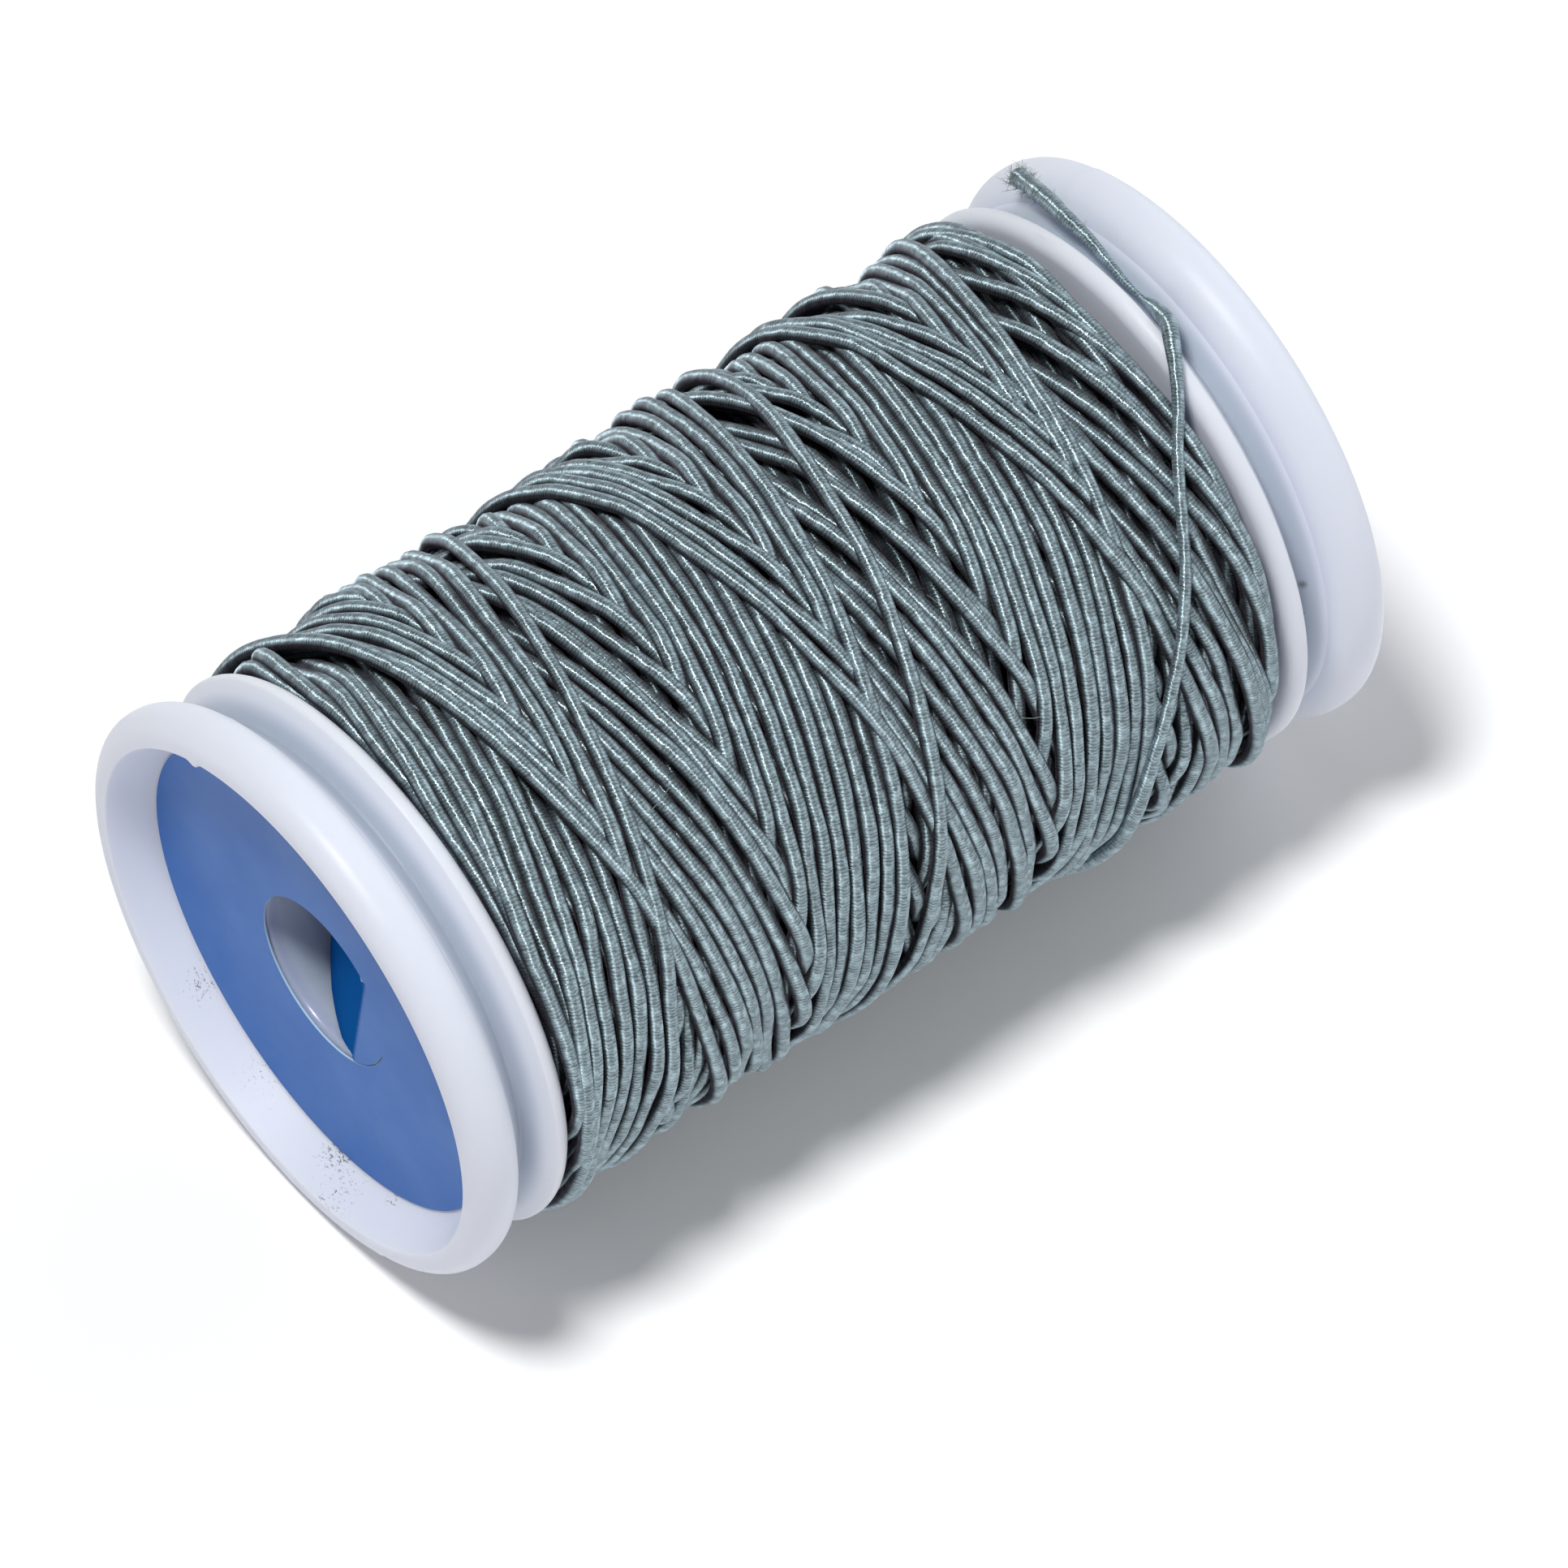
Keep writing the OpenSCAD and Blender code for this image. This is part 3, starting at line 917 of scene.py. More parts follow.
# How deep the flap hangs below the label, against the distance from its hinge, in mm
FLAP_DROP = [(0, 0), (0.12, 0.03), (0.85, 0.33), (1.54, 0.54), (2.74, 1.12), (3.72, 1.64),
             (4.58, 2.21), (5.10, 2.56), (5.56, 2.96), (6.6, 3.75), (7.2, 4.2)]
HINGE_X, HINGE_Z, HINGE_LEAN = 2.42, -3.15, 9.3       # mm, mm and degrees
FLAP_JOINED = (-14, 44)                               # angles where the flap stays on the disc
FLAP_LIMIT = 3.98                                     # mm, the bore's room for the flap
CUT_WIDTH = 0.07                                      # mm
LABEL_TURNS = 192                                     # points round the label
DISC_RINGS = (0.985, 0.93, 0.84, 0.74, 0.64, 0.56, 0.48, 0.43)


def hinge_distance(x, z):
    """How far points of the label lie beyond the flap's hinge, in mm."""
    lean = math.radians(HINGE_LEAN)
    return (HINGE_X + (z - HINGE_Z) * math.tan(lean) - x) * math.cos(lean)


def ringed_sheet(face_y, outline, radii):
    """A circle at face_y, filled with rings by extruding it inwards. It stays in edit mode."""
    deselect_all()
    bpy.ops.mesh.primitive_circle_add(vertices=LABEL_TURNS, radius=outline, fill_type="NOTHING",
                                      location=(0, face_y, 0), rotation=(math.pi / 2, 0, 0))
    sheet = bpy.context.object
    bpy.ops.object.transform_apply(location=True, rotation=True)
    start_edit()
    for radius in radii:
        bm = bmesh.from_edit_mesh(sheet.data)
        chosen = [v for v in bm.verts if v.select]
        now = sum(math.hypot(v.co.x, v.co.z) for v in chosen) / len(chosen)
        bpy.ops.mesh.extrude_region_move(TRANSFORM_OT_translate={"value": (0, 0, 0)})
        bpy.ops.transform.resize(value=(radius / now,) * 3, center_override=(0, face_y, 0))
    return sheet


def label_mesh(s, face_y):
    """The disc with its C-shaped cut, as one sheet at the label's face, before its thickness."""
    disc = ringed_sheet(face_y, s.radius, [s.radius * share for share in DISC_RINGS]
                        + [s.hole_radius])
    disc.name = "label_disc"
    end_edit()
    # The inner rings lie round the cut's own centre
    co = coords_of(disc)
    inner = s.radius * 0.75
    pull = np.clip((inner - radius_of(co)) / (inner - s.hole_radius), 0, 1)
    co[:, 0] += s.hole_x * pull
    co[:, 2] += s.hole_z * pull
    move_points(disc, co)
    # The flap: a second sheet of rings inside the cut, joined to the disc beside its hinge
    flap = ringed_sheet(face_y, s.hole_radius,
                        [s.hole_radius * share for share in np.linspace(0.96, 0.04, 24)])
    bpy.ops.mesh.merge(type="CENTER")
    end_edit()
    hang_flap(flap, s, face_y)
    choose(disc)
    flap.select_set(True)
    bpy.ops.object.join()
    start_edit()
    bpy.ops.mesh.remove_doubles(threshold=1.2e-5)
    bpy.ops.mesh.normals_make_consistent(inside=False)
    end_edit()
    return disc


def hang_flap(flap, s, face_y):
    """Cuts the flap free but for its hinge, and hangs it into the bore."""
    co = coords_of(flap)
    angle = angle_of(co)
    joined = (angle > FLAP_JOINED[0]) & (angle < FLAP_JOINED[1])
    edge = radius_of(co) > s.hole_radius * 0.99
    shrink = np.where(edge & ~joined, 1 - CUT_WIDTH * MM / s.hole_radius, 1.0)
    x = (co[:, 0] * shrink + s.hole_x) / MM
    z = (co[:, 2] * shrink + s.hole_z) / MM
    distance = hinge_distance(x, z)
    drop = np.interp(np.maximum(distance, 0), *np.transpose(FLAP_DROP))
    drop = drop * smooth(np.clip(distance / 0.3, 0, 1))
    inside = np.maximum(np.hypot(x, z), 1e-6)
    squeeze = np.where(drop > 0.05, np.minimum(1, FLAP_LIMIT / inside), 1)
    co[:, 0] = x * squeeze * MM
    co[:, 2] = z * squeeze * MM
    co[:, 1] = face_y + drop * MM
    move_points(flap, co)


# ---------------------------------------------------------------------------------------------
# The winding. Its lengths are in mm.
# ---------------------------------------------------------------------------------------------

STEPS = 240             # places round the spool where the thread's height is worked out
CELL = 0.04             # along the axis between those places
HALF_WIDTH = 20.2       # from the middle that the height map reaches
COLUMNS = int(2 * HALF_WIDTH / CELL) + 1
START_ANGLE = 201.0     # degrees about the axis where the guide starts to lay
REACH = 19.26           # from the middle that the thread's middle stays within
BACK_EARLY = (95, 60, 0.75)    # middle and half-width in degrees, and how early the lay turns back
TURN_NEAR = 0.15        # share of a layer out and back in which a turning back is moved
# Irregularities along the thread: (steps they are smoothed over, amount)
WANDER = ((14, 0.04), (45, 0.09), (200, 0.06))
QUIVER = ((5, 0.034), (10, 0.030))
SWELL = ((3, 0.03), (12, 0.03), (60, 0.02))
LOWEST_FIRST = 0.07     # how strictly a turn takes the lowest place beside its line
NEAREST_FIRST = 0.14    # how strictly it takes the nearest one
SETTLE = 0.04           # how far a strand sinks into those under it
SAG = 0.0045            # how far it bends down in each step where it bridges a dip
SOFT_TOP = 0.12         # height over which it eases under the highest radius
PRESS, PRESS_WIDTH = 0.20, 0.7    # how far, and how widely, the free end presses others down
LEVEL = 13.22           # radius that the outer crossings are brought to
LEVEL_REACH = 19.05     # from the middle, as far as they are brought to it
NO_TOP = 30.0           # a highest radius that no strand reaches
FAR_AWAY = 99           # a place that no strand is near
PIECES = 6              # parts of the winding, each with its own mesh
MEAN_RADIUS = 12.7      # for the length of thread that the covering's ribs are counted along


def within_turn(angle):
    """An angle in degrees, brought to -180..180."""
    return (angle + 180) % 360 - 180


def guided_line(s, rng):
    """The line of the thread before it settles, as a winding machine's guide lays it: it runs to
    and fro along the axis, nearly three turns each way, and at last into the free end. Returns the
    angle in degrees, the place along the axis, the share of the free end, a quiver that the
    settled thread adds, and the turns in one layer out and back."""
    low, high = s.low_turn / MM, s.high_turn / MM
    span = high - low
    turns = 6 - s.spacing / MM / (2 * span / 6)
    last = (TAIL_ROUTE[0][0] - START_ANGLE) / 360
    last = last - math.floor(last) + 2
    travel = last - np.arange(int(round(s.cycles * turns * STEPS)), -1, -1) / STEPS
    angle = START_ANGLE + 360 * travel
    total = len(travel)
    # The guide moves a little faster on one side of each turn
    uneven = 0.15 / (2 * np.pi)
    guide = travel + uneven * (np.sin(np.radians(angle - 80))
                               - math.sin(math.radians(START_ANGLE - 80)))
    guide = guide + smooth_noise(rng, total, 300, 0.004)
    stroke = (guide / turns) % 1.0
    y = np.where(stroke < 0.5, low + span * stroke * 2, high - span * (stroke - 0.5) * 2)
    ease = 0.14 / turns
    to_low, to_high = np.minimum(stroke, 1 - stroke), np.abs(stroke - 0.5)
    y += np.where(to_low < ease, 2 * span * (ease - to_low) ** 2 / (2 * ease), 0)
    y -= np.where(to_high < ease, 2 * span * (ease - to_high) ** 2 / (2 * ease), 0)
    # It turns back a little early now and then, and always so at the top of the back end
    drift = np.random.default_rng(s.seed + 7).uniform(0, 1, (2, s.cycles + 4))
    middle, width, amount = BACK_EARLY
    early = 0.5 + 0.5 * np.cos(np.pi * np.clip(within_turn(angle - middle) / width, -1, 1))
    for own, reach, shift, side, fixed in ((drift[0], to_high, 0, -0.45, -amount * early),
                                           (drift[1], to_low, 0.5, 0.35, 0.0)):
        cycle = np.floor(guide / turns + shift).astype(int) + s.cycles + 2
        near = np.cos(np.pi / 2 * np.clip(reach / TURN_NEAR, 0, 1)) ** 2
        y += near * (side * own[np.clip(cycle, 0, s.cycles + 3)] + fixed)
    y += noise_bands(rng, total, WANDER)
    quiver = noise_bands(rng, total, QUIVER)
    # The last half turn runs into the free end
    into = smooth(np.clip(1 - (last - travel) / 0.5, 0, 1))
    y += (TAIL_ROUTE[0][2] - y[-1]) * into
    return angle, y, into, quiver * (1 - into), turns


def cells_near(line, offsets):
    """The height map's columns beside each point of a line."""
    column = np.rint((line + HALF_WIDTH) / CELL).astype(int)
    return np.clip(column.reshape(-1, *[1] * (offsets.ndim - 1)) + offsets, 0, COLUMNS - 1)


def side_shift(line, rows, height, profile, across, shift_before):
    """How far each point of a line moves sideways into the lowest place near it."""
    tries = np.arange(-7, 8)
    cells = cells_near(line, tries[None, :, None] + across[None, None, :])
    support = (height[rows[:, None, None], cells] + profile * 0.9).max(axis=2)
    support = np.apply_along_axis(lambda v: blurred(v, 5), 0, support)
    weight = np.exp(-(support - support.min(axis=1, keepdims=True)) / LOWEST_FIRST
                    - (tries * CELL / NEAREST_FIRST) ** 2)
    shift = (weight * (tries * CELL)).sum(1) / weight.sum(1)
    lead = min(14, len(shift))
    fade = np.linspace(0, 1, lead)
    shift[:lead] = shift_before + (shift[:lead] - shift_before) * fade * fade * (3 - 2 * fade)
    shift = blurred(shift, 5)
    return shift + (shift_before - shift[0]) * np.exp(-np.arange(len(shift)) / 6)


def bridged(rest, radius_before):
    """The radius of a strand that lies on its supports and bridges the dips between them."""
    radius = rest.copy()
    lead = min(5, len(radius))
    radius[:lead] = np.maximum(radius[:lead], radius_before - 0.02 * np.arange(1, lead + 1))
    for _ in range(60):
        bridge = np.empty_like(radius)
        bridge[1:-1] = 0.5 * (radius[:-2] + radius[2:]) - SAG
        bridge[0] = 0.5 * (radius_before + radius[1]) - SAG
        bridge[-1] = radius[-1]
        radius = np.maximum(rest, bridge)
    return blurred(np.concatenate([[radius_before] * 6, radius]), 1.6)[6:]


def lay_thread(s, sunk, top):
    """Lays the thread turn by turn on a height map of the spool.

    Each turn settles into the lowest place beside its line, lies on what is under it and bridges
    short dips. sunk says how far the hidden layers sink, and top is the radius that the thread's
    middle stays under. Returns the angle in degrees, the radius and the place along the axis of the
    thread's middle, the turns in one layer out and back, and the height map.
    """
    rng = np.random.default_rng(s.seed)
    half = s.diameter / MM / 2
    angle, y, into, quiver, turns = guided_line(s, rng)
    total = len(angle)
    height = s.base_radius / MM - sunk
    radius_out, y_out = np.zeros(total), np.zeros(total)
    across = np.arange(-9, 10)
    profile = np.sqrt(np.maximum(half * half - (across * CELL) ** 2, 0))
    ceiling = top + smooth_noise(rng, total, 30, 0.05)
    # The free end presses into the strands under it
    end_angle, _, end_place = np.transpose(TAIL_ROUTE)
    pressed = np.interp(within_turn(angle), end_angle, end_place, left=FAR_AWAY, right=FAR_AWAY)
    shift_before, radius_before = 0.0, s.base_radius / MM + half
    # A third of a turn is laid at once, with a look ahead that is laid again
    chunk, ahead = STEPS // 3, STEPS // 8
    for first in range(0, total, chunk):
        stop, keep = min(first + chunk + ahead, total), min(first + chunk, total)
        part, done = slice(first, stop), keep - first
        rows = np.arange(first, stop) % STEPS
        shift = side_shift(y[part], rows, height, profile, across, shift_before)
        shift *= 1 - into[part]
        line = np.clip(y[part] + shift + quiver[part], -REACH, REACH)
        cells = cells_near(line, across[None, :])
        rest = (height[rows[:, None], cells] + profile[None, :] * 0.93).max(axis=1) - SETTLE
        cap = ceiling[part] - PRESS * bell(line, pressed[part], PRESS_WIDTH)
        rest = cap - SOFT_TOP * np.logaddexp(0, (cap - rest) / SOFT_TOP)
        radius = bridged(rest, radius_before)
        radius += (TAIL_ROUTE[0][1] - radius) * into[part]
        shift_before, radius_before = shift[done - 1], radius[done - 1]
        radius_out[first:keep], y_out[first:keep] = radius[:done], line[:done]
        np.maximum.at(height, (rows[:done, None] + np.zeros_like(cells[:done]), cells[:done]),
                      radius[:done, None] + profile[None, :])
    return angle, radius_out, y_out, turns, height


def level_base(s):
    """How far the hidden layers sink, so that the crossings on them end up level."""
    sunk = np.zeros((STEPS, COLUMNS))
    places = np.arange(COLUMNS) * CELL - HALF_WIDTH
    inner = np.clip(np.arange(COLUMNS), np.argmax(places > -LEVEL_REACH),
                    np.argmax(places > LEVEL_REACH))
    for _ in range(3):
        excess = (lay_thread(s, sunk, NO_TOP)[4] - LEVEL)[:, inner]
        excess = np.apply_along_axis(lambda v: blurred(v, 18), 1, excess)
        excess = np.apply_along_axis(lambda v: blurred(v, 8), 0,
                                     np.vstack([excess[-30:], excess, excess[:30]]))[30:-30]
        sunk = np.clip(sunk + 0.9 * excess, -0.3, 2.4)
    return sunk


def gap_depth(height, first_angle, co):
    """How far points lie below the tops of the strands round them."""
    tops = height.copy()
    for _ in range(8):
        tops[:, 1:-1] = np.maximum(tops[:, 1:-1], np.maximum(tops[:, :-2], tops[:, 2:]))
    for _ in range(10):
        tops[:, 1:-1] = (tops[:, :-2] + 2 * tops[:, 1:-1] + tops[:, 2:]) / 4
        tops = (np.roll(tops, 1, axis=0) + 2 * tops + np.roll(tops, -1, axis=0)) / 4
    row = np.rint((angle_of(co) - first_angle) / 360 * STEPS).astype(int) % STEPS
    column = np.rint((co[:, 1] / MM + HALF_WIDTH) / CELL).astype(int)
    column = np.clip(column, 0, COLUMNS - 1)
    return np.maximum(tops[row, column] - radius_of(co) / MM, 0)


# ---------------------------------------------------------------------------------------------
# Operators
# ---------------------------------------------------------------------------------------------

class SPOOL_OT_materials(bpy.types.Operator):
    """Makes the shared shader groups"""

    bl_idname = "spool.materials"
    bl_label = "Shared Finishes"

    def execute(self, context):
        soft_mottle_group()
        specks_group()
        wrapped_thread_group()
        return {"FINISHED"}


class SPOOL_OT_thread_finish(bpy.types.Operator):
    """Makes the materials of the thread and its fibres"""

    bl_idname = "spool.thread_finish"
    bl_label = "Thread Finishes"

    def execute(self, context):
        thread_cover(context.scene.thread_settings)
        thread_fibres(context.scene.thread_settings)
        return {"FINISHED"}


class SPOOL_OT_stage(bpy.types.Operator):
    """Sets up the camera, the lamp, the world and the floor"""

    bl_idname = "spool.stage"
    bl_label = "Stage"

    def execute(self, context):
        scene = context.scene
        s = scene.stage_settings
        scene.view_settings.view_transform = "Standard"
        deselect_all()
        self.camera(scene, s)
        self.lamp(s)
        self.world(scene, s)
        self.floor(scene, s)
        return {"FINISHED"}

    def camera(self, scene, s):
        az, el = s.azimuth, s.elevation
        back = Vector((math.sin(az) * math.cos(el), -math.cos(az) * math.cos(el), math.sin(el)))
        right = Vector((math.cos(az), math.sin(az), 0))
        bpy.ops.object.camera_add(location=tuple(s.position))
        camera = bpy.context.object
        camera.name = "camera"
        camera.rotation_euler = Matrix((right, back.cross(right), back)).transposed().to_euler()
        camera.data.sensor_width = 36.0
        camera.data.sensor_height = 36.0
        camera.data.sensor_fit = "HORIZONTAL"
        camera.data.lens = s.lens
        camera.data.clip_start = 0.01
        camera.data.clip_end = 20.0
        scene.camera = camera

    def lamp(self, s):
        direction = Vector((0.0, -0.28, 1.0)).normalized()
        bpy.ops.object.light_add(type="AREA", location=direction * 0.70)
        lamp = bpy.context.object
        lamp.name = "key_lamp"
        lamp.rotation_euler = direction.to_track_quat("Z", "Y").to_euler()
        lamp.data.shape = "DISK"
        lamp.data.size = 0.16
        lamp.data.energy = s.key_power

    def world(self, scene, s):
        world = bpy.data.worlds.new("soft_room")
        scene.world = world
        world.use_nodes = True
        tree = world.node_tree
        x, y, z = split_xyz(tree, tree.nodes.new("ShaderNodeTexCoord").outputs["Generated"])
        # A broad soft light stands beyond the spool's back end
        side = weighed(tree, (y, 0.97), (x, -0.10))
        side = maths(tree, "POWER", maths(tree, "MAXIMUM", side, 0.0), 2.6)
        # A weaker one stands low beyond its +X side
        low = minus(tree, 1.0, maths(tree, "ABSOLUTE", z))
        fill = times(tree, maths(tree, "MAXIMUM", x, 0.0), low)
        room = plus(tree, weighed(tree, (side, s.side_light), (fill, s.fill_light)), s.dome)
        # Where it is seen, the room is white round the horizon
        seen = times(tree, seen_rays(tree), ramp(tree, z, 0.36, 0.16))
        white = times(tree, minus(tree, 1.0, room), seen)
        cool = maths(tree, "MULTIPLY", side, 3.0, clamp=True)
        finish_shader(tree, tree.nodes["Background"], {
            "Color": mix_colour(tree, cool, (1.0, 0.96, 0.995, 1.0), (0.91, 0.965, 1.0, 1.0)),
            "Strength": plus(tree, room, white),
        })

    def floor(self, scene, s):
        deselect_all()
        low = -scene.moulding_settings.rim_diameter / 2
        bpy.ops.mesh.primitive_plane_add(size=4.0, location=(0, 0, low))
        floor = bpy.context.object
        floor.name = "floor"
        bpy.ops.object.transform_apply(location=True)
        start_edit()
        bpy.ops.mesh.subdivide(number_cuts=3)
        end_edit()
        floor.data.materials.append(floor_paper(s))


class SPOOL_OT_tail(bpy.types.Operator):
    """Lays the free end of the thread, with its frayed tip"""

    bl_idname = "spool.tail"
    bl_label = "Thread Tail"

    def execute(self, context):
        route = np.array([polar(*p) for p in TAIL_ROUTE]) * MM
        points = fine_line(route, 0.16 * MM)
        angle = np.unwrap(angle_of(points), period=360)
        half = np.interp(angle, *np.transpose(TAIL_HALF)) * MM
        rng = np.random.default_rng(11)
        rough = np.clip((angle - 108) / 12, 0, 1)
        half = half * (1 + smooth_noise(rng, len(points), 2, 0.02)
                       + smooth_noise(rng, len(points), 3, 0.07) * rough)
        tail = tube_piece("thread_free_end", [(points, half, half * 1.03, 0.0)], 16)
        finish_piece(tail, bpy.data.materials["thread_cover"])
        tip = self.fray(points, half, rng)
        finish_piece(tip, bpy.data.materials["thread_fibres"])
        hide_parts("thread_tail")
        return {"FINISHED"}

    def fray(self, points, half, rng):
        """Loose fibres round the thread's cut end, most of them close to it."""
        count, at_end, steps = 240, 180, 7
        runs = []
        along = lengthwise(points)
        last = len(points) - 1
        t = np.linspace(0, 1, steps)[:, None]
        thin = np.linspace(0.016, 0.006, steps) * MM
        for index in range(count):
            back = int(abs(rng.normal(0, 7))) if index < at_end else int(rng.uniform(8, 34))
            place = max(0, last - back)
            heading = along[place]
            side = np.cross(heading, points[place] * (1, 0, 1))
            side /= np.linalg.norm(side)
            up = np.cross(side, heading)
            turn = rng.uniform(-0.6, 2 * np.pi - 0.6)
            normal = math.cos(turn) * up + math.sin(turn) * side
            around = -math.sin(turn) * up + math.cos(turn) * side
            reach = rng.uniform(0.12, 0.38) * MM * (1.0 if back < 8 else 0.6)
            lift = rng.uniform(0.35, 1.1)
            lean = rng.normal(0.7 if back < 5 else 0.2, 0.6)
            swirl = rng.normal(0, 1.1)
            line = (points[place] + normal * half[place] * 0.9
                    + reach * (t * (lift * normal + lean * heading)
                               + t ** 2 * (swirl * around + rng.normal(0, 0.3) * heading)))
            runs.append((line, thin, thin, 0.0))
        return tube_piece("thread_tip_fibres", runs, 4)


class SPOOL_OT_moulding(bpy.types.Operator):
    """Turns the moulded spool from its profile"""

    bl_idname = "spool.moulding"
    bl_label = "Moulded Spool"

    def execute(self, context):
        s = context.scene.moulding_settings
        upper = end_outline(s)
        lower = [(r, -y) for r, y in reversed(upper)]
        piece = turned_piece("spool_moulding", upper + lower, s.segments)
        mark_mould(piece, s)
        shade(piece, 32)
        finish_piece(piece, spool_plastic(s))
        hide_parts("spool_body")
        return {"FINISHED"}


class SPOOL_OT_label(bpy.types.Operator):
    """Cuts the paper label with its flap over the bore"""

    bl_idname = "spool.label"
    bl_label = "Paper Label"

    def execute(self, context):
        s = context.scene.label_settings
        m = context.scene.moulding_settings
        floor = -(m.length / 2 - m.recess_depth)
        piece = label_mesh(s, floor - s.paper - 0.05 * MM)
        self.outwards(piece)
        choose(piece)
        solid = piece.modifiers.new("paper", "SOLIDIFY")
        solid.thickness = s.paper
        solid.offset = -1.0
        solid.use_even_offset = False
        bpy.ops.object.modifier_apply(modifier=solid.name)
        self.mark_edges(piece)
        self.mark_flap(piece, s)
        shade(piece, 40)
        finish_piece(piece, label_paper(s))
        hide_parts("front_label")
        return {"FINISHED"}

    def outwards(self, piece):
        """Turns the sheet so that its faces look out of the spool, towards -Y."""
        if sum(p.normal.y * p.area for p in piece.data.polygons) > 0:
            choose(piece)
            start_edit()
            bpy.ops.mesh.flip_normals()
            end_edit()

    def mark_edges(self, piece):
        """Marks the cut faces, which show the pale paper."""
        mesh = piece.data
        values = np.zeros(len(mesh.loops))
        for face in mesh.polygons:
            upright = abs(face.normal.y) < 0.4 and face.area < 0.06 * MM * MM
            if upright and math.hypot(face.center.x, face.center.z) < 5.2 * MM:
                values[face.loop_start:face.loop_start + face.loop_total] = 1.0
        store(piece, "cut_edge", "CORNER", values)

    def mark_flap(self, piece, s):
        """Marks how far each point of the flap hangs beyond the hinge, from 0 to 1."""
        co = coords_of(piece) / MM
        inside = np.hypot(co[:, 0] - s.hole_x / MM, co[:, 2] - s.hole_z / MM)
        inside = inside < (s.hole_radius - 0.04 * MM) / MM
        beyond = np.clip((hinge_distance(co[:, 0], co[:, 2]) + 0.05) / 0.45, 0, 1)
        store(piece, "hanging", "POINT", inside * smooth(beyond))


class SPOOL_OT_under_layers(bpy.types.Operator):
    """Turns the hidden layers of thread as one ring"""

    bl_idname = "spool.under_layers"
    bl_label = "Thread Under-layers"

    def execute(self, context):
        s = context.scene.thread_settings
        m = context.scene.moulding_settings
        inner = m.bore_diameter / 2 + m.barrel_wall + 0.05 * MM
        outer = s.base_radius + 0.55 * MM
        gap = 0.06 * MM
        ends = [(inner, flange_face(m, inner) - gap), (outer, flange_face(m, outer) - gap)]
        half_count = 30
        waves = []
        for index in range(2 * half_count + 1):
            y = (1 - index / half_count) * (flange_face(m, outer) - 0.4 * MM)
            waves.append((outer + 0.05 * MM * math.sin(index * 2.4), y))
        profile = ends + waves + [(r, -y) for r, y in reversed(ends)]
        piece = turned_piece("thread_under_layers", profile, 144)
        shade(piece, 60)
        finish_piece(piece, deep_thread_shade(s))
        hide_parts("thread_core")
        return {"FINISHED"}


class SPOOL_OT_winding(bpy.types.Operator):
    """Winds the outer layers of thread on the spool"""

    bl_idname = "spool.winding"
    bl_label = "Wound Thread"

    def execute(self, context):
        s = context.scene.thread_settings
        angle, radius, along, turns, height = lay_thread(s, level_base(s), s.top_radius / MM)
        last = len(angle) - 1
        shown = int(s.shown_cycles * turns * STEPS)
        cuts = np.linspace(last - shown, last, PIECES + 1)
        cuts = (np.round(cuts - last) + last).astype(int)
        rng = np.random.default_rng(s.seed + 1)
        half = s.diameter / 2 * noise_bands(rng, len(angle), SWELL, 1)
        pieces = []
        for number in range(PIECES):
            part = np.arange(cuts[number], cuts[number + 1] + 1)
            points = ring_points(angle[part], radius[part], along[part])
            begin = float(part[0]) * 2 * math.pi * MEAN_RADIUS / STEPS
            piece = tube_piece(f"thread_layers_{number + 1}",
                               [(points, half[part] * 0.98, half[part] * 1.02, begin)], 10)
            store(piece, "gap_depth", "POINT", gap_depth(height, angle[0], coords_of(piece)))
            finish_piece(piece, bpy.data.materials["thread_cover"])
            pieces.append(piece)
        for piece in pieces:
            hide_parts("thread_winding")
        return {"FINISHED"}


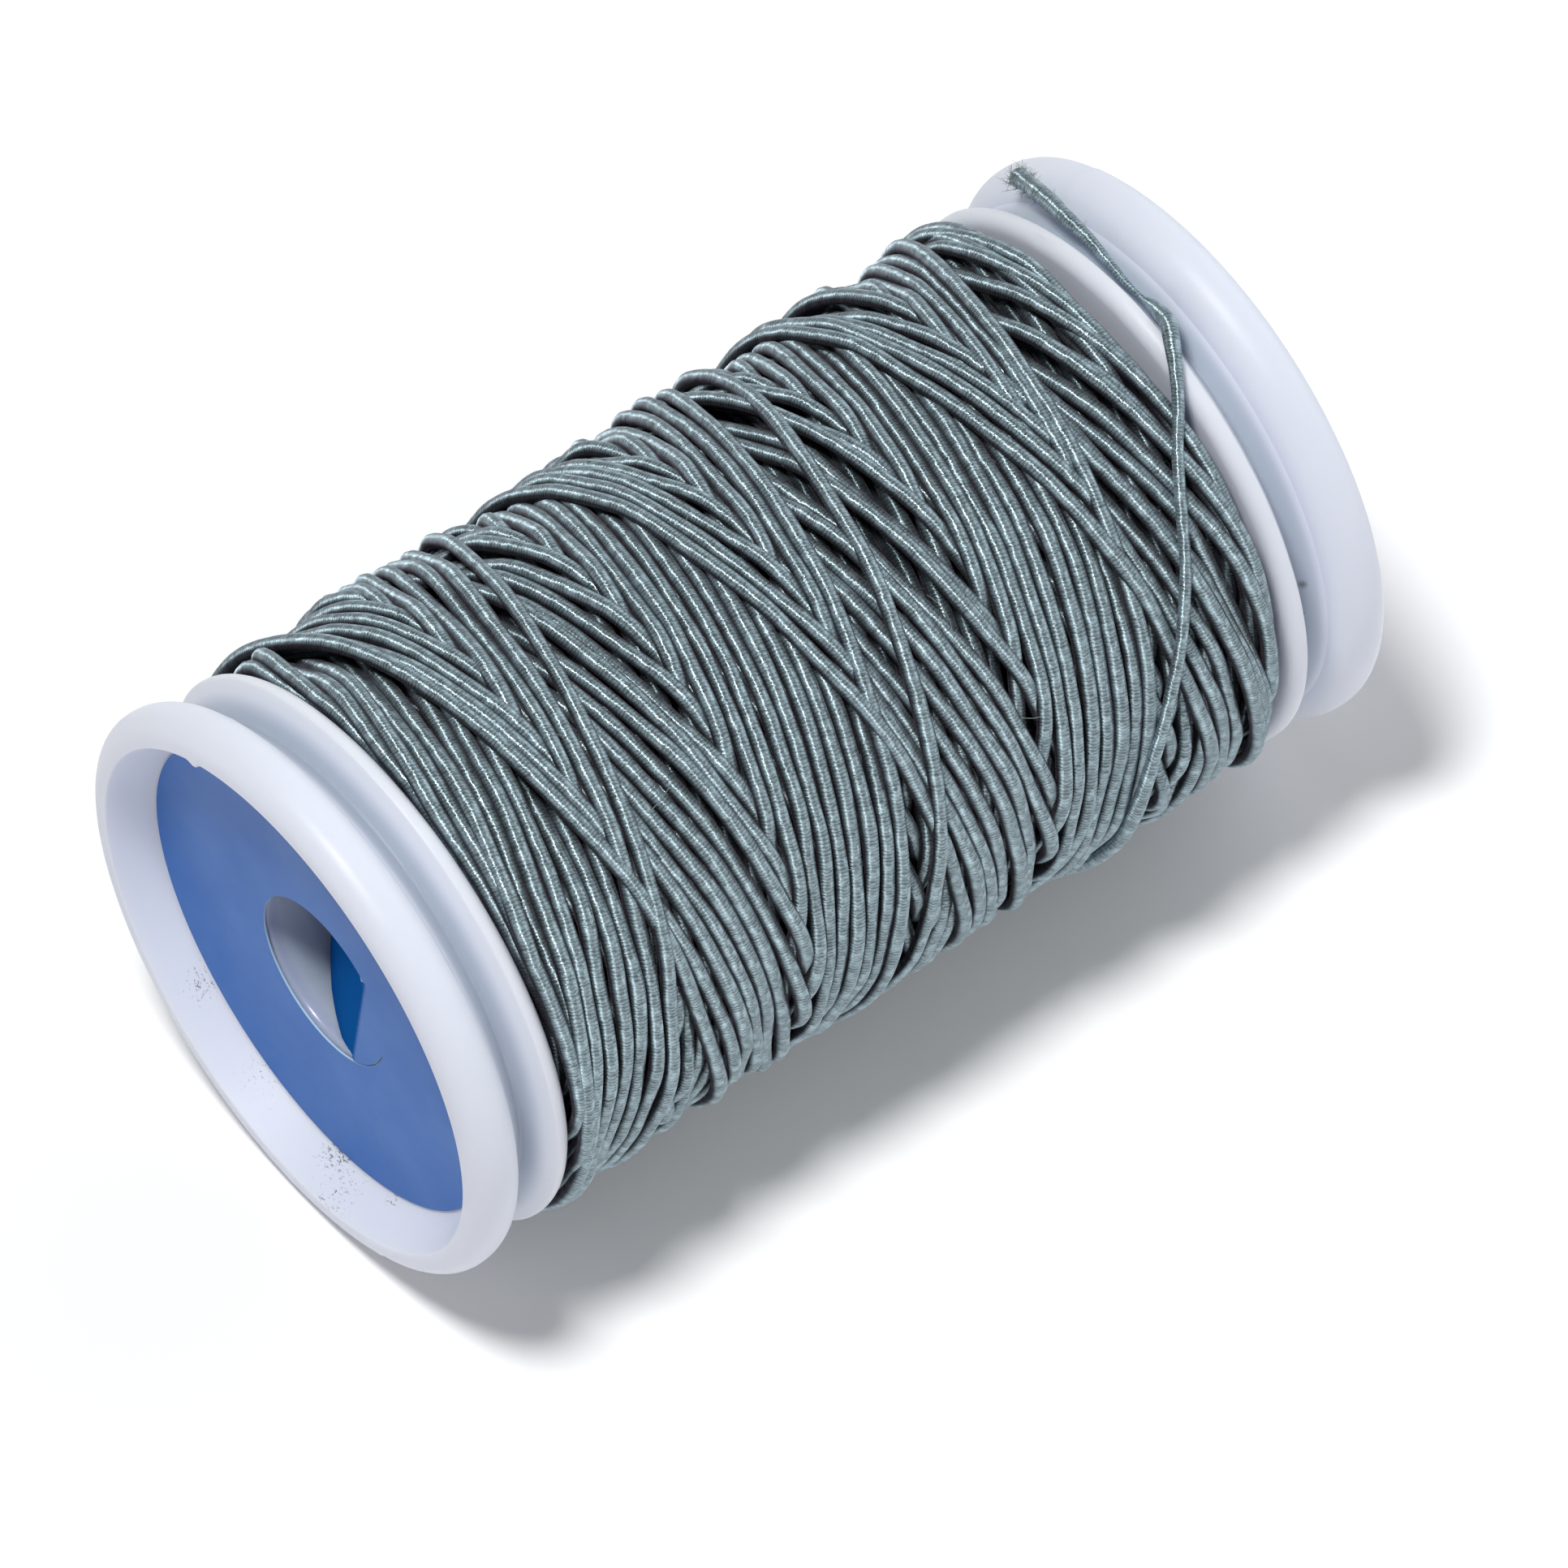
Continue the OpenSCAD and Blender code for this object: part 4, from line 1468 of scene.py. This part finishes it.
class SPOOL_OT_stray_fibres(bpy.types.Operator):
    """Adds the few loose hairs that stand off the winding"""

    bl_idname = "spool.stray_fibres"
    bl_label = "Stray Fibres"

    def execute(self, context):
        steps, lying, lift, mean_radius = 12, 13.42, 0.34, 13.3    # the last three in mm
        rng = np.random.default_rng(23)
        runs = []
        t = np.linspace(0, 1, steps)
        thin = np.full(steps, 0.015 * MM)
        for angle, along, reach, heading in HAIRS:
            turn = math.radians(heading) + t * rng.normal(0, 1.2)
            travel = reach / steps
            y = along + np.cumsum(np.cos(turn)) * travel
            a = angle + np.degrees(np.cumsum(np.sin(turn)) * travel / mean_radius)
            r = lying + lift * np.sin(np.pi * t) * rng.uniform(0.5, 1.0)
            runs.append((ring_points(a, r, y), thin, thin, 0.0))
        hairs = tube_piece("stray_fibres", runs, 4)
        finish_piece(hairs, bpy.data.materials["thread_fibres"])
        return {"FINISHED"}


class SPOOL_PT_panel(bpy.types.Panel):
    """Lists the spool's pieces in the sidebar"""

    bl_idname = "SPOOL_PT_panel"
    bl_label = "Sewing Thread Spool"
    bl_space_type = "VIEW_3D"
    bl_region_type = "UI"
    bl_category = "Spool"

    def draw(self, context):
        for operator in OPERATORS:
            self.layout.operator(operator.bl_idname)


OPERATORS = (SPOOL_OT_materials, SPOOL_OT_thread_finish, SPOOL_OT_stage, SPOOL_OT_tail,
             SPOOL_OT_moulding, SPOOL_OT_label, SPOOL_OT_under_layers, SPOOL_OT_winding,
             SPOOL_OT_stray_fibres)
SETTINGS = {"moulding_settings": SpoolMouldingSettings, "label_settings": LabelSettings,
            "thread_settings": ThreadSettings, "stage_settings": StageSettings}
CLASSES = (*SETTINGS.values(), *OPERATORS, SPOOL_PT_panel)


def register():
    for item in CLASSES:
        bpy.utils.register_class(item)
    for name, group in SETTINGS.items():
        setattr(bpy.types.Scene, name, bpy.props.PointerProperty(type=group))


def unregister():
    for name in SETTINGS:
        delattr(bpy.types.Scene, name)
    for item in reversed(CLASSES):
        bpy.utils.unregister_class(item)


def main():
    register()
    bpy.ops.spool.materials()
    bpy.ops.spool.thread_finish()
    bpy.ops.spool.stage()
    bpy.ops.spool.tail()
    bpy.ops.spool.moulding()
    bpy.ops.spool.label()
    bpy.ops.spool.under_layers()
    bpy.ops.spool.winding()
    bpy.ops.spool.stray_fibres()


if __name__ == "__main__":
    main()
